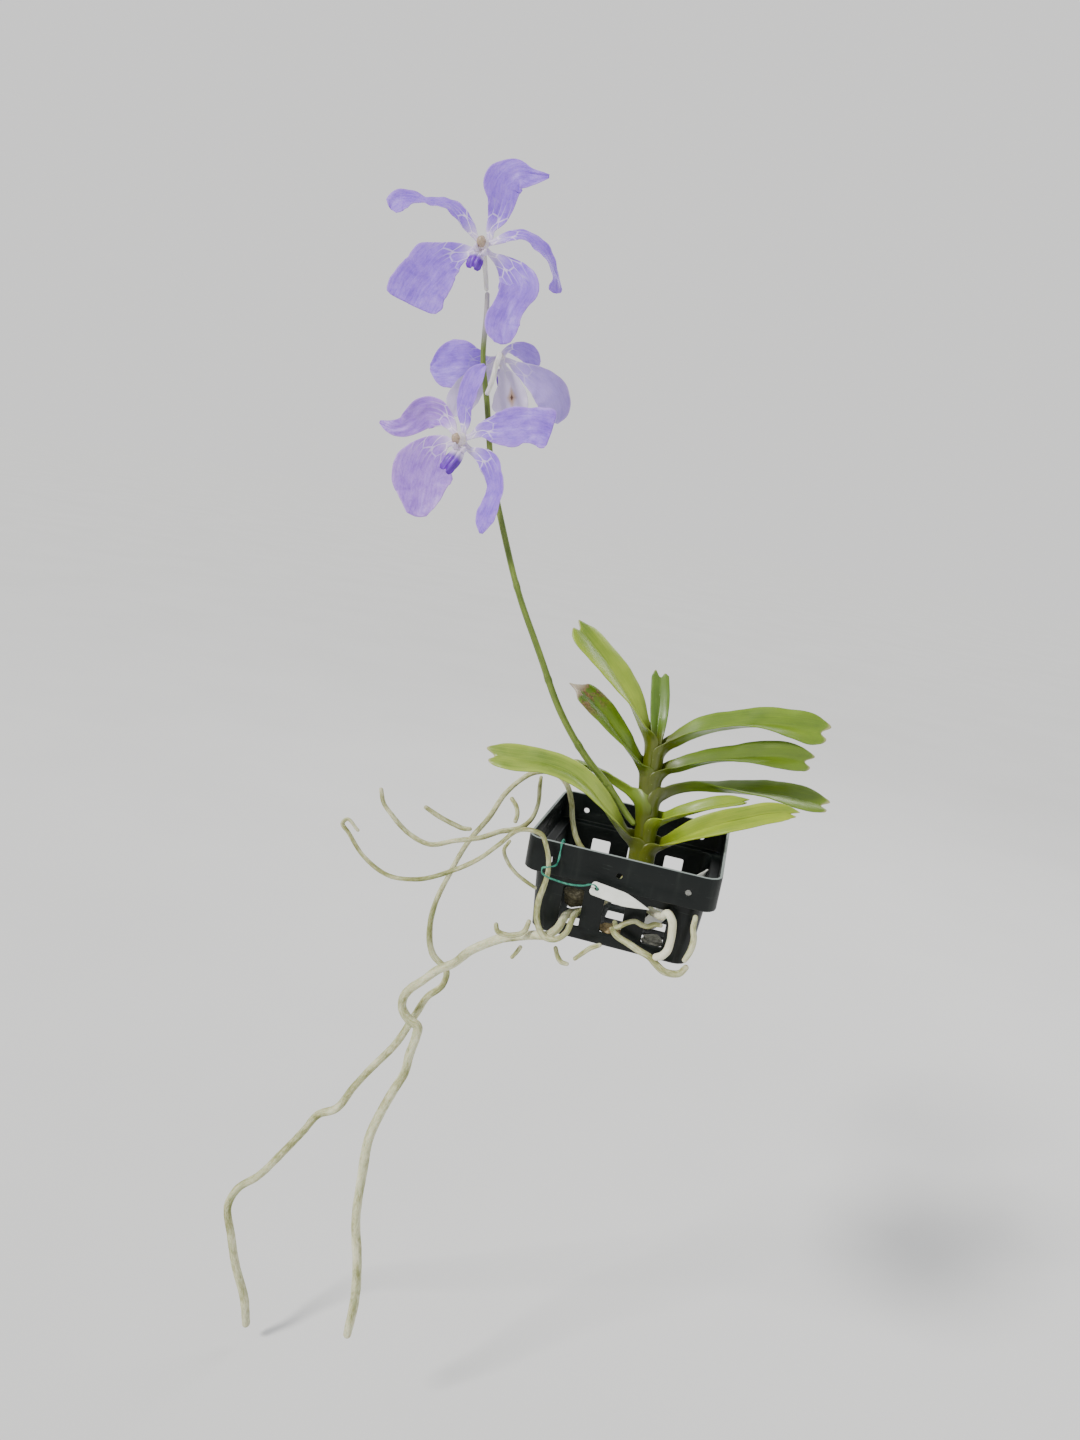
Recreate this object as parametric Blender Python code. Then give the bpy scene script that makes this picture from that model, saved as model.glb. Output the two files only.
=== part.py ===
"""A blue-flowered orchid growing bare-rooted in a square slotted basket that hangs by its rim.

Sizes and places below are in millimetres, and the meshes are made in metres. The frame is the
basket's: X to its right, Y to its back, Z up, with the origin at its middle, level with the row of
hanger holes. The plant leans in its basket, so its stem, leaves, stalk and flowers are placed in
a frame of their own: X across the fan of leaves, Y up along the plant and Z out of its face.
"""

import math

import bmesh
import bpy
import numpy as np
from mathutils import Matrix

MM = 0.001
CLEARANCE = 0.4  # between pieces that touch

# The basket
BASKET_WIDTH = 100.0
BASKET_HEIGHT = 52.0
RIM_HEIGHT = 10.0  # above the hanger holes
COLLAR_DEPTH = 18.0
BASKET_WALL = 1.6
LEDGE = 5.5  # from the collar in to the body
BODY_TAPER = 2.5
CORNER_RADIUS = 8.0
CORNER_STEPS = 4
SLOT_PITCH = 22.0
SLOT_WIDTH = 11.0
SLOT_DROP = 6.0  # from the collar down to the slots
SLOT_SILL = 7.0  # from the slots down to the underside
FLOOR_SLOT = 14.0
HANGER_HOLE = 3.2
HANGER_PITCH = 35.0

# The plant's lean, in degrees
TURN = 11.0
TILT = 12.0
LEAN = 10.0

# Thicknesses
LEAF_THICKNESS = 1.4
TEPAL_THICKNESS = 1.0
LIP_THICKNESS = 1.6
LABEL_THICKNESS = 0.6
WIRE_RADIUS = 0.5
SHEATH_GAP = 0.8
SHEATH_WRAP = 76.0  # degrees each way round the stem
NOTCH = 4.0

HALF = BASKET_WIDTH / 2
COLLAR_FOOT = RIM_HEIGHT - COLLAR_DEPTH
FLOOR = RIM_HEIGHT - BASKET_HEIGHT
SLOT_TOP = COLLAR_FOOT - SLOT_DROP
SLOT_BOTTOM = FLOOR + SLOT_SILL
SLOTS = (-SLOT_PITCH, 0.0, SLOT_PITCH)

# The stem: across, up, out, radius
STEM_RADIUS = 4.3  # among the leaves
STEM = [
    (2.0, -28, 0, 1.07 * STEM_RADIUS),
    (3.0, -16, 0, 1.30 * STEM_RADIUS),
    (4.6, -6, 0, 1.16 * STEM_RADIUS),
    (6.0, 2, 0, STEM_RADIUS),
    (7.0, 10, 0, 0.95 * STEM_RADIUS),
    (9.0, 32, 0, 0.91 * STEM_RADIUS),
    (11.0, 48, 0, 0.79 * STEM_RADIUS),
    (13.0, 61, 0, 0.60 * STEM_RADIUS),
    (13.6, 66, 0, 0.46 * STEM_RADIUS),
]

# The leaves: side of the stem, foot and top of the sheath, then the blade's keel as across (less
# the stem's radius), up, out, half width, fold of each half from the middle plane and roll towards
# the face, in degrees
LEAVES = {
    "leaf_right_1": (1, 45.5, 50.5, [
        (15.7, 54, 0.5, 7.5, 40, 5), (20.7, 56.5, 1, 8.5, 42, 8), (26.7, 59.5, 1, 9.5, 46, 12),
        (35.7, 63, 1, 10.5, 50, 20), (52.7, 66, 1, 11, 55, 25), (67.7, 67, 1, 11, 60, 35),
        (80.7, 66, 1, 10.5, 65, 50), (91.7, 64.5, 1, 10, 70, 65), (103.7, 62, 1, 7, 75, 70)]),
    "leaf_right_2": (1, 32, 37, [
        (15.2, 41, 1.5, 7, 42, 5), (20.7, 42.5, 4, 7.5, 46, 6), (28.7, 45, 5, 8, 50, 8),
        (39.7, 47.5, 5, 8.5, 55, 12), (52.7, 48.5, 5, 9, 58, 18), (65.7, 49.5, 5, 9.5, 62, 32),
        (77.7, 49.5, 5, 9, 66, 50), (93.7, 46.5, 5, 6, 72, 62)]),
    "leaf_right_3": (1, 20, 24.5, [
        (15.2, 28, -1.5, 7, 42, 5), (20.7, 29.8, -4, 7.5, 46, 8), (28.7, 31, -6, 8, 50, 12),
        (43.7, 30.5, -7, 8.5, 58, 25), (59.7, 29.5, -7, 9, 62, 40), (75.7, 28, -7, 9.5, 66, 55),
        (90.7, 25, -7, 9, 70, 65), (105.7, 21, -7, 6, 74, 65)]),
    "leaf_right_4": (1, 7, 11, [
        (14.2, 14.5, 2, 6, 42, 5), (19.7, 17.2, 6, 6.3, 46, 8), (25.7, 19.5, 9, 6.5, 50, 10),
        (33.7, 22, 11, 6.5, 52, 15), (45.7, 24.5, 12, 5.5, 56, 20), (57.7, 26, 12, 2.5, 60, 20)]),
    "leaf_right_5": (1, -8, -3, [
        (13.2, 0.5, 2, 6, 42, 8), (17.7, 3.5, 7, 6.5, 46, 18), (22.7, 7, 12.5, 7, 50, 32),
        (30.7, 11, 15.5, 7.5, 55, 45), (41.7, 14.8, 17.5, 7.5, 60, 55), (53.7, 17.5, 18, 7, 62, 60),
        (65.7, 20, 18, 6.5, 64, 62), (74.7, 20.5, 18, 5, 68, 65), (82.7, 19.5, 18, 2.5, 70, 65)]),
    "leaf_left_1": (-1, 53, 57, [
        (7.3, 68, 4, 9.5, 50, 12), (1.3, 82, 5, 11, 56, 28), (-6.7, 95, 5, 11.5, 58, 38),
        (-15.7, 107, 5, 11, 62, 42), (-22.7, 116, 5, 9.5, 66, 42), (-27.7, 123, 5, 6, 70, 42)]),
    "leaf_left_2": (-1, 36, 41, [
        (5.8, 47, 2.5, 7, 50, 8), (0.3, 55, 8, 7.5, 56, 20), (-6.7, 65, 10, 8.5, 64, 32),
        (-13.7, 74.5, 10, 9, 68, 40), (-21.7, 83, 10, 8, 70, 42), (-30.7, 90, 10, 3, 72, 42)]),
    "leaf_left_3": (-1, -5, 0, [
        (-1.2, 6.5, 2, 7, 50, 5), (-6.7, 14.5, 8, 7.5, 54, 15), (-13.7, 24.5, 12, 8, 60, 30),
        (-22.7, 35.5, 14, 8, 66, 42), (-33.7, 43, 14, 8, 70, 46), (-45.7, 47, 14, 8, 72, 48),
        (-59.7, 49, 14, 9, 74, 48), (-75.7, 51.5, 14, 6.5, 76, 48)]),
    "leaf_left_4": (-1, 18, 23, [
        (2.3, 29, -3, 6, 52, 5), (-3.2, 33, -8, 6, 56, 10), (-9.7, 37.5, -12, 6.5, 60, 20),
        (-17.7, 42, -14, 6, 65, 25), (-27.7, 47, -15, 3, 70, 30)]),
}
YOUNGEST_LEAF = [  # stands up behind the top of the stem: out is less the stem's radius
    (13.4, 58, -2.5, 4, 42, 0), (15, 70, -5.2, 5.5, 52, 0), (16, 82, -6.7, 6.5, 56, 0),
    (16, 95, -8.2, 5, 60, 0),
]

# The flower stalk: across, up, out, radius
STALK = [
    (0.2, 13.5, 1, 1.6), (-3.6, 18.5, 0, 1.9), (-9, 27, -0.5, 2.0), (-15, 36, -0.5, 2.0),
    (-23, 46, 0, 2.0), (-31, 58, 1, 1.9), (-39, 73, 2, 1.9), (-51, 106, 2, 1.8),
    (-63, 141, 2, 1.7), (-71, 174, 2, 1.7), (-77, 205, 2, 1.6), (-80, 245, 2, 1.6),
    (-82, 267, 2, 1.5), (-80, 294, 3, 1.4), (-79.6, 302, 4, 1.3),
]

# The flowers. A tepal's axis is across, up and out from the flower's centre, then the blade's
# half width to the left and right of its run, and the turn of the blade towards the face.
FLOWERS = {
    "flower_top": {
        "centre": (-81, 322, 20),
        "pedicel": [(-79.9, 304.6, 4.8, 1.2), (-80.4, 312, 8.5, 1.3), (-81, 320, 14, 1.5)],
        "column": [(0, 0, -3.4, 1.6), (0, 0, -1, 2.5), (-0.4, -0.4, 2, 2.6), (-0.8, -0.8, 4.6, 2)],
        "lip": [(-1.2, -4.6, 1, 2, 2, 0), (-3, -8, 3, 3.5, 3.5, 0), (-4.4, -11.5, 4, 4, 4, 0),
                (-5.6, -14.8, 3.5, 2.4, 2.4, 0)],
        "dorsal_sepal": [
            (3.2, 3.4, -3, 1.5, 1.5, 0), (3.7, 9.2, -3.5, 2.4, 2.6, 0),
            (7.2, 15.6, -3, 5.2, 5.8, 0), (9.9, 22.7, -1, 7.8, 7.4, 0),
            (12, 31, 1, 12, 9.5, 0), (18.1, 35.8, 3, 7.9, 9.8, 0),
            (25.2, 35.1, 4, 2.8, 7.4, 0), (31.6, 33.5, 5, 1.6, 3.7, 0), (35, 33, 5, 0.9, 0.9, 0)],
        "petal_left": [
            (-3.4, 3.2, -0.5, 1.4, 1.4, 0), (-7.1, 8.5, 1, 3.4, 3.4, 15),
            (-11.7, 14.3, 2, 5.4, 5.4, 36), (-17.4, 19.2, 2, 6.5, 6.5, 44),
            (-24.5, 21.6, 1, 7, 7, 48), (-31.6, 23, 0, 7, 7, 44), (-38.6, 23.8, -1, 7.6, 7.6, 34),
            (-44.4, 22.8, -1, 7.6, 7.6, 22), (-47.8, 20.6, -1, 6, 6, 20)],
        "petal_right": [
            (5, 0.8, -0.5, 1.4, 1.4, 0), (11, 2.4, 1, 3, 3, -20),
            (17.4, 3.5, 2, 4.5, 4.5, -35), (23.8, 2.4, 3, 5.5, 5.5, -38),
            (28.9, -1.6, 3, 5.5, 5.5, -40), (33.9, -7.3, 2, 6, 6, -55),
            (37.2, -14.2, 0, 5, 5, -60), (38.6, -20, -2, 5, 5, -50), (38, -23.4, -3, 4, 4, -30)],
        "sepal_left": [
            (-4.8, -1.6, -3, 1.5, 1.5, 0), (-10.2, -2.8, -3.5, 4.6, 4.6, 0),
            (-17.2, -5.2, -3, 9, 7.8, 0), (-23.2, -10.2, -1.5, 11, 15.4, 0),
            (-27.5, -16.5, 0, 13.4, 14.8, 0), (-32.6, -23.7, 2, 14.2, 15.8, 0),
            (-36.9, -32.3, 3, 14.9, 14.9, 0)],
        "sepal_right": [
            (3.8, -4.2, -3, 1.5, 1.5, 0), (9.2, -7.6, -4, 4, 4, 0), (16.2, -15.6, -3.5, 9, 9, 0),
            (19, -22.2, -2, 10.9, 10.9, 0), (16.5, -27.8, -1, 9.1, 9.1, 0),
            (12.6, -36.3, 1, 8.6, 8.6, 0), (10.1, -43.5, 2, 9.3, 9.3, 0),
            (10.1, -49.2, 3, 7.6, 7.6, 0), (10.4, -53.3, 4, 4.6, 4.6, 0)],
    },
    "flower_middle": {
        "centre": (-73, 273.6, -10),
        "pedicel": [(-79.6, 248, 4.6, 1.2), (-77, 254, 5.5, 1.3), (-75, 263, 3.5, 1.4),
                    (-73.2, 272, -4, 1.5)],
        "column": [(0, 0, -1, 1.6), (0, 0, -4, 2.5), (0.2, 0, -7, 2.6), (0.4, 0, -9, 2)],
        "lip": [(0.5, -4.8, -7, 2, 2, 0), (1, -8, -10, 3.4, 3.4, 0), (1.5, -11, -12.5, 3.6, 3.6, 0),
                (2, -13.6, -14, 2, 2, 0)],
        "dorsal_sepal": [
            (3.2, 3.3, -1, 1.6, 1.6, 0), (8.6, 4.6, -4, 4.6, 4.4, 0), (14.6, 4.2, -9, 6.4, 6, 0),
            (19.3, 3, -14, 5, 5, 0), (22, 2, -18, 1.5, 1.5, 0)],
        "petal_left": [
            (-4.8, -0.6, -3, 1.5, 1.5, 0), (-7.4, -1.6, -4, 3.6, 3.6, 0),
            (-12.8, -1.8, -5, 7.8, 7.8, 0), (-21.4, -1.8, -6, 13.2, 13.2, 0),
            (-30, -2.5, -8, 13.2, 12.6, 0), (-36.8, -2.6, -10, 8.6, 7.8, 0),
            (-40.6, -2.6, -11, 2, 2, 0)],
        "petal_right": [
            (4.6, -1.6, -3.5, 1.5, 1.5, 0), (8.8, -4.4, -4.5, 3.2, 3.2, 0),
            (16.3, -9, -5, 6.2, 6, 0), (24, -14.6, -6, 9.4, 9, 0), (30, -22.3, -7, 9.6, 10, 0),
            (31.9, -29.4, -8, 6.6, 7.4, 0), (30.6, -35, -9, 1.6, 1.6, 0)],
        "sepal_right": [
            (1.6, -5, -1, 1.6, 1.6, 0), (2.6, -9.4, -1, 4, 4, 0), (4.5, -15.4, -1, 7, 6.2, 0),
            (5.2, -24, -1.5, 10, 9.6, 0), (5.2, -30.8, -2, 9.2, 9.2, 0), (4.5, -35, -3, 4, 4, 0)],
        "sepal_left": [
            (-3.6, -4, -1, 1.5, 1.5, 0), (-8, -8.5, -1, 4, 4, 0), (-14, -14.5, -1, 7, 7, 0),
            (-20, -21, -2, 8.4, 8.4, 0), (-24.5, -27.5, -3, 7, 7, 0), (-27, -32, -4, 2, 2, 0)],
    },
    "flower_bottom": {
        "centre": (-92.6, 220, 15),
        "pedicel": [(-79.3, 208, 4.2, 1.2), (-83.5, 212, 6.6, 1.3), (-88, 215.6, 7.8, 1.4),
                    (-91, 218.2, 8.6, 1.5)],
        "column": [(0, 0, -3.2, 1.6), (-0.3, 0, -1, 2.5), (-1.6, -0.4, 2, 2.6), (-3, -0.8, 4.4, 2)],
        "lip": [(-0.6, -5, 2, 2, 2, 0), (-2.5, -9, 4, 3.6, 3.6, 0), (-5.5, -13.4, 5, 4, 4, 0),
                (-9.2, -18, 4.5, 2.4, 2.4, 0)],
        "dorsal_sepal": [
            (0.8, 4.8, -2.5, 1.5, 1.5, 0), (1.6, 9, -2.5, 2.8, 2.8, -10),
            (1.2, 16.4, -2, 4.6, 5, -30), (3.3, 24.6, 0, 7.2, 7.4, -36),
            (5.9, 30.5, 2, 7, 7.2, -34), (9.2, 35.2, 3, 4.6, 5, -25), (12.7, 38.2, 4, 1, 1, 0)],
        "petal_left": [
            (-3.6, 3.4, -1.5, 1.5, 1.5, 0), (-5.8, 8, -2.5, 3, 3, -10),
            (-8.8, 12, -4.5, 4.8, 4.8, -15), (-13.9, 15.6, -6, 7.8, 7.8, -20),
            (-20.5, 16.6, -8, 8.4, 8.4, -20), (-27, 12.8, -10, 7, 7, -10),
            (-33.6, 9.9, -12, 5.2, 5.2, 0), (-40.1, 11.1, -14, 4, 3.6, 0),
            (-46.3, 14.3, -16, 1, 1, 0)],
        "petal_right": [
            (5, 1.4, 1, 1.6, 1.6, 0), (11.1, 3.9, 4, 4.2, 4.2, 0), (18.8, 3.5, 7, 8, 8, 0),
            (27, 3.4, 10, 10.5, 10.5, 0), (35.2, 3.4, 13, 9.4, 9.4, 0),
            (41, 2.4, 15, 9.8, 9.8, 0), (46.9, 0.4, 16, 10, 10, 0)],
        "sepal_left": [
            (-5.2, -0.8, -3.5, 1.5, 1.5, 0), (-8.6, -0.6, -4.5, 3.7, 3.7, 0),
            (-12.6, -2, -5.5, 7.2, 6.6, 0), (-17.2, -6.4, -7, 12, 12, 0),
            (-20.6, -13.2, -8, 16, 16.6, 0), (-22.6, -20.6, -7.5, 15.6, 16.2, 0),
            (-23, -27.4, -7, 12.8, 13.2, 0), (-23.8, -33, -6, 9.6, 9.8, 0),
            (-24.6, -38.4, -5, 6, 6.2, 0)],
        "sepal_right": [
            (3.4, -4.6, -2.5, 1.5, 1.5, 0), (8, -7, -2, 3.2, 3.2, 10),
            (13.6, -11.4, 0, 5.6, 5.6, 15), (17, -18.8, 1, 6, 6, 40), (18.2, -27.8, 2, 7, 7, 45),
            (15, -36.8, 2, 7, 7, 42), (11.8, -44.2, 1, 6, 6, 35), (10.2, -50.4, 0, 1, 1, 20)],
    },
}

# The roots
ROOT_START = 1.6  # radius of a root where it leaves the stem
ROOT_PLACE = 2.9  # middle of a root that lies by the side of a slot

# The labels: across, out from the collar, up; the stake's foot is above the floor and its point
# above the rim
TAG_END = (-12, 8, -6)
TAG_POINT = (18, 7, -10.5)
TAG_WIDTH = 7.6
TAG_FACE = (0, -0.64, 0.77)
TAG_HOLE = 2.4
HOLE_PLACE = 3.0  # from the end of the tag to its hole
STAKE_FOOT = (17, -37, 3)
STAKE_POINT = (42, -28, -5)
STAKE_WIDTH = 9.0
STAKE_FACE = (0.5, -0.8, 0.2)
POINT_SHARE = 1.8  # length of a label's point, as a share of its width
WIRE_PLACE = -31.0  # where the wire comes over the rim
WIRE_LOOP = 9.6  # from the collar out to the wire's loop

# The bark: middle as shares of the half width across and back, and height; size; turn of its lumps
BARK = {
    "bark_left": ((-0.44, -0.62, -23), (12, 11, 13), 0.4),
    "bark_front": ((-0.02, -0.68, -35.4), (11, 9, 6), 2.1),
    "bark_right": ((0.44, -0.66, -36), (11, 9, 5.6), 3.7),
    "bark_back": ((0.28, 0.48, -34.6), (26, 17, 8), 5.2),
}

# Rows and columns of the meshes
LEAF_COLUMNS = 5
LEAF_ROWS = 12
YOUNGEST_ROWS = 6
TEPAL_COLUMNS = 5
TEPAL_ROWS = 9
LIP_ROWS = 5
TUBE_SIDES = 8
ROOT_SIDES = 7
STEM_SIDES = 12
PIN_SIDES = 12
TEPAL_CUP = 0.10  # how far a tepal is dished, as a share of its half width

COLOURS = {
    "basket": (0.012, 0.02, 0.018), "stem": (0.12, 0.17, 0.02), "leaf": (0.20, 0.34, 0.04),
    "stalk": (0.14, 0.21, 0.04), "pedicel": (0.75, 0.72, 0.66), "tepal": (0.38, 0.31, 0.74),
    "lip": (0.12, 0.04, 0.52), "column": (0.66, 0.60, 0.56), "root": (0.70, 0.72, 0.58),
    "bark": (0.10, 0.07, 0.05), "label": (0.86, 0.88, 0.84), "wire": (0.02, 0.28, 0.18),
}


def clear_scene():
    for obj in list(bpy.data.objects):
        bpy.data.objects.remove(obj, do_unlink=True)


def material(name, kind, roughness):
    made = bpy.data.materials.new(name)
    made.use_nodes = True
    shader = made.node_tree.nodes["Principled BSDF"]
    shader.inputs["Base Color"].default_value = (*COLOURS[kind], 1.0)
    shader.inputs["Roughness"].default_value = roughness
    shader.inputs["Metallic"].default_value = 0.0
    return made


def add_object(name, points, faces, kind, roughness=0.5, parent=None):
    """One object from points in millimetres, with its faces turned out."""
    mesh = bpy.data.meshes.new(name)
    mesh.from_pydata([tuple(point) for point in np.array(points) * MM], [], faces)
    turned = bmesh.new()
    turned.from_mesh(mesh)
    bmesh.ops.recalc_face_normals(turned, faces=turned.faces)
    turned.to_mesh(mesh)
    turned.free()
    obj = bpy.data.objects.new(name, mesh)
    bpy.context.collection.objects.link(obj)
    obj.parent = parent
    if kind:
        mesh.materials.append(material(name, kind, roughness))
    return obj


def add_empty(name, matrix, parent=None):
    empty = bpy.data.objects.new(name, None)
    bpy.context.collection.objects.link(empty)
    empty.parent = parent
    empty.matrix_local = matrix
    return empty


def unit(vectors):
    return vectors / np.linalg.norm(vectors, axis=-1, keepdims=True)


def smooth(rows, count):
    """Rows that start with a place, drawn out as one smooth curve of evenly spaced rows."""
    rows = np.array(rows, float)
    run = np.concatenate([[0], np.cumsum(np.linalg.norm(np.diff(rows[:, :3], axis=0), axis=1))])
    slopes = np.gradient(rows, run, axis=0)
    where = np.linspace(0, run[-1], count)
    i = np.clip(np.searchsorted(run, where, side="right") - 1, 0, len(run) - 2)
    span = (run[i + 1] - run[i])[:, None]
    t = (where - run[i])[:, None] / span
    return (
        (2 * t**3 - 3 * t**2 + 1) * rows[i]
        + (t**3 - 2 * t**2 + t) * span * slopes[i]
        + (3 * t**2 - 2 * t**3) * rows[i + 1]
        + (t**3 - t**2) * span * slopes[i + 1]
    )


def carried(tangents, start):
    """A direction square to the curve at each point, carried along it without twisting."""
    found = []
    for tangent in tangents:
        start = start - tangent * (start @ tangent)
        start = start / np.linalg.norm(start)
        found.append(start)
    return np.array(found)


def sheet(name, middle, thickness, kind, parent=None):
    """A closed solid of even thickness round a grid of points."""
    out = unit(np.cross(np.gradient(middle, axis=0), np.gradient(middle, axis=1)))
    rows, columns = middle.shape[:2]
    size = rows * columns
    points = np.concatenate([
        (middle + out * thickness / 2).reshape(-1, 3),
        (middle - out * thickness / 2).reshape(-1, 3),
    ])
    faces = []
    for i in range(rows - 1):
        for j in range(columns - 1):
            a, b = i * columns + j, (i + 1) * columns + j
            faces.append((a, a + 1, b + 1, b))
            faces.append((a + size, b + size, b + 1 + size, a + 1 + size))
    border = [(0, j) for j in range(columns)]
    border += [(i, columns - 1) for i in range(1, rows)]
    border += [(rows - 1, j) for j in range(columns - 2, -1, -1)]
    border += [(i, 0) for i in range(rows - 2, 0, -1)]
    ring = [i * columns + j for i, j in border]
    for a, b in zip(ring, ring[1:] + ring[:1]):
        faces.append((a, a + size, b + size, b))
    return add_object(name, points, faces, kind, parent=parent)


def tube(name, rows, count, sides, kind, parent=None):
    """A tube with rounded ends along rows of across, back, up and radius."""
    rows = smooth(rows, count)
    tangents = unit(np.gradient(rows[:, :3], axis=0))
    level, back = np.eye(3)[:2]
    first = back if abs(tangents[0][1]) < 0.9 else level
    side = carried(tangents, first)
    other = np.cross(tangents, side)
    angles = np.arange(sides) * 2 * math.pi / sides
    shoulder = math.sqrt(0.5)
    rings = [(rows[0][:3] - tangents[0] * rows[0][3] * shoulder, rows[0][3] * shoulder, 0)]
    rings += [(row[:3], row[3], i) for i, row in enumerate(rows)]
    last_radius = rows[-1][3] * shoulder
    rings.append((rows[-1][:3] + tangents[-1] * last_radius, last_radius, -1))
    points = []
    for centre, radius, i in rings:
        for angle in angles:
            spoke = math.cos(angle) * side[i] + math.sin(angle) * other[i]
            points.append(centre + radius * spoke)
    points.append(rows[0][:3] - tangents[0] * rows[0][3])
    points.append(rows[-1][:3] + tangents[-1] * rows[-1][3])
    faces = []
    for i in range(len(rings) - 1):
        for j in range(sides):
            a, b = i * sides + j, i * sides + (j + 1) % sides
            faces.append((a, b, b + sides, a + sides))
    last = (len(rings) - 1) * sides
    for j in range(sides):
        faces.append((len(points) - 2, (j + 1) % sides, j))
        faces.append((len(points) - 1, last + j, last + (j + 1) % sides))
    return add_object(name, points, faces, kind, parent=parent)


# ---- basket ----------------------------------------------------------------------------------


def rounded_square(half, height, radius):
    points = []
    for quarter in range(4):
        for step in range(CORNER_STEPS + 1):
            angle = math.radians(90 * (quarter + step / CORNER_STEPS))
            turn = math.radians(90 * quarter + 45)
            corner = (half - radius) * math.sqrt(2)
            x = corner * math.cos(turn) + radius * math.cos(angle)
            y = corner * math.sin(turn) + radius * math.sin(angle)
            points.append((x, y, height))
    return points


def boxes(name, places, size):
    """Square-cornered blocks in one object, which only cuts."""
    points, faces = [], []
    corners = [(x, y, z) for x in (-0.5, 0.5) for y in (-0.5, 0.5) for z in (-0.5, 0.5)]
    sides = [(0, 1, 3, 2), (4, 6, 7, 5), (0, 4, 5, 1), (2, 3, 7, 6), (0, 2, 6, 4), (1, 5, 7, 3)]
    for place in places:
        first = len(points)
        points += [tuple(np.array(place) + np.array(corner) * size) for corner in corners]
        faces += [tuple(first + i for i in side) for side in sides]
    return add_object(name, points, faces, None)


def pins(name, places, radius, length, along_x):
    """Round pins in one object, which only cuts."""
    count = PIN_SIDES
    points, faces = [], []
    for place in places:
        first = len(points)
        for end in (-0.5, 0.5):
            for step in range(count):
                angle = 2 * math.pi * (step + 0.5) / count
                across, up, run = radius * math.cos(angle), radius * math.sin(angle), end * length
                offset = (run, across, up) if along_x else (across, run, up)
                points.append(tuple(np.array(place) + np.array(offset)))
        faces += [(first + i, first + (i + 1) % count, first + count + (i + 1) % count,
                   first + count + i) for i in range(count)]
        faces.append(tuple(first + i for i in reversed(range(count))))
        faces.append(tuple(first + count + i for i in range(count)))
    return add_object(name, points, faces, None)


def cut(obj, cutter):
    cutter.hide_render = True
    cutter.display_type = "WIRE"
    modifier = obj.modifiers.new(cutter.name, "BOOLEAN")
    modifier.operation = "DIFFERENCE"
    modifier.solver = "EXACT"
    modifier.object = cutter


def build_basket():
    body = HALF - LEDGE
    foot = body - BODY_TAPER
    inner = CORNER_RADIUS - BASKET_WALL
    rings = [
        rounded_square(foot, FLOOR, CORNER_RADIUS),
        rounded_square(body, COLLAR_FOOT, CORNER_RADIUS),
        rounded_square(HALF, COLLAR_FOOT, CORNER_RADIUS),
        rounded_square(HALF, RIM_HEIGHT, CORNER_RADIUS),
        rounded_square(HALF - BASKET_WALL, RIM_HEIGHT, inner),
        rounded_square(HALF - BASKET_WALL, COLLAR_FOOT + BASKET_WALL, inner),
        rounded_square(body - BASKET_WALL, COLLAR_FOOT + BASKET_WALL, inner),
        rounded_square(foot - BASKET_WALL, FLOOR + BASKET_WALL, inner),
    ]
    count = len(rings[0])
    faces = []
    for i in range(len(rings) - 1):
        for j in range(count):
            a, b = i * count + j, i * count + (j + 1) % count
            faces.append((a, b, b + count, a + count))
    faces.append(tuple(range(count)))
    faces.append(tuple((len(rings) - 1) * count + j for j in range(count)))
    basket = add_object("basket", sum(rings, []), faces, "basket", 0.4)
    middle = (SLOT_TOP + SLOT_BOTTOM) / 2
    tall = SLOT_TOP - SLOT_BOTTOM
    through = 2 * BASKET_WIDTH
    across = [(0, y, middle) for y in SLOTS]
    back = [(x, 0, middle) for x in SLOTS]
    under = [(x, y, FLOOR) for x in SLOTS for y in SLOTS]
    cut(basket, boxes("slots_across", across, (through, SLOT_WIDTH, tall)))
    cut(basket, boxes("slots_back", back, (SLOT_WIDTH, through, tall)))
    cut(basket, boxes("slots_floor", under, (FLOOR_SLOT, FLOOR_SLOT, 4 * BASKET_WALL)))
    places = (-HANGER_PITCH, 0, HANGER_PITCH)
    cut(basket, pins("holes_across", [(0, y, 0) for y in places], HANGER_HOLE / 2, through, True))
    cut(basket, pins("holes_back", [(x, 0, 0) for x in places], HANGER_HOLE / 2, through, False))


# ---- plant -----------------------------------------------------------------------------------


def plant_matrix():
    """The plant's frame: it is turned, tipped back and leaned to the left in its basket."""
    turn, tilt, lean = map(math.radians, (TURN, TILT, LEAN))
    forward = np.array([math.sin(turn), -math.cos(turn), 0.0])
    face = forward * math.cos(tilt) + np.array([0.0, 0.0, math.sin(tilt)])
    level = np.array([math.cos(turn), math.sin(turn), 0.0])
    upright = np.cross(face, level)
    across = level * math.cos(lean) + upright * math.sin(lean)
    up = upright * math.cos(lean) - level * math.sin(lean)
    return Matrix(np.stack([across, up, face], axis=1).tolist()).to_4x4()


def stem_at(height):
    """The stem's middle and radius at a height along the plant."""
    rows = np.array(STEM)
    return [np.interp(height, rows[:, 1], rows[:, i]) for i in (0, 2, 3)]


def crown(bearing, depth):
    """Where a root leaves the foot of the stem, in the basket's frame; bearing 0 is to the right."""
    x, z, radius = stem_at(-depth)
    place = np.array(plant_matrix())[:3, :3] @ np.array([x, -depth, z])
    away = np.array([math.cos(math.radians(bearing)), math.sin(math.radians(bearing)), 0.0])
    # The stem leans, so a level cut of it is wider than the stem.
    wide = 1 / math.cos(math.radians(LEAN + TILT))
    return place + away * (radius * wide + 2 * CLEARANCE + ROOT_START)


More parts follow.
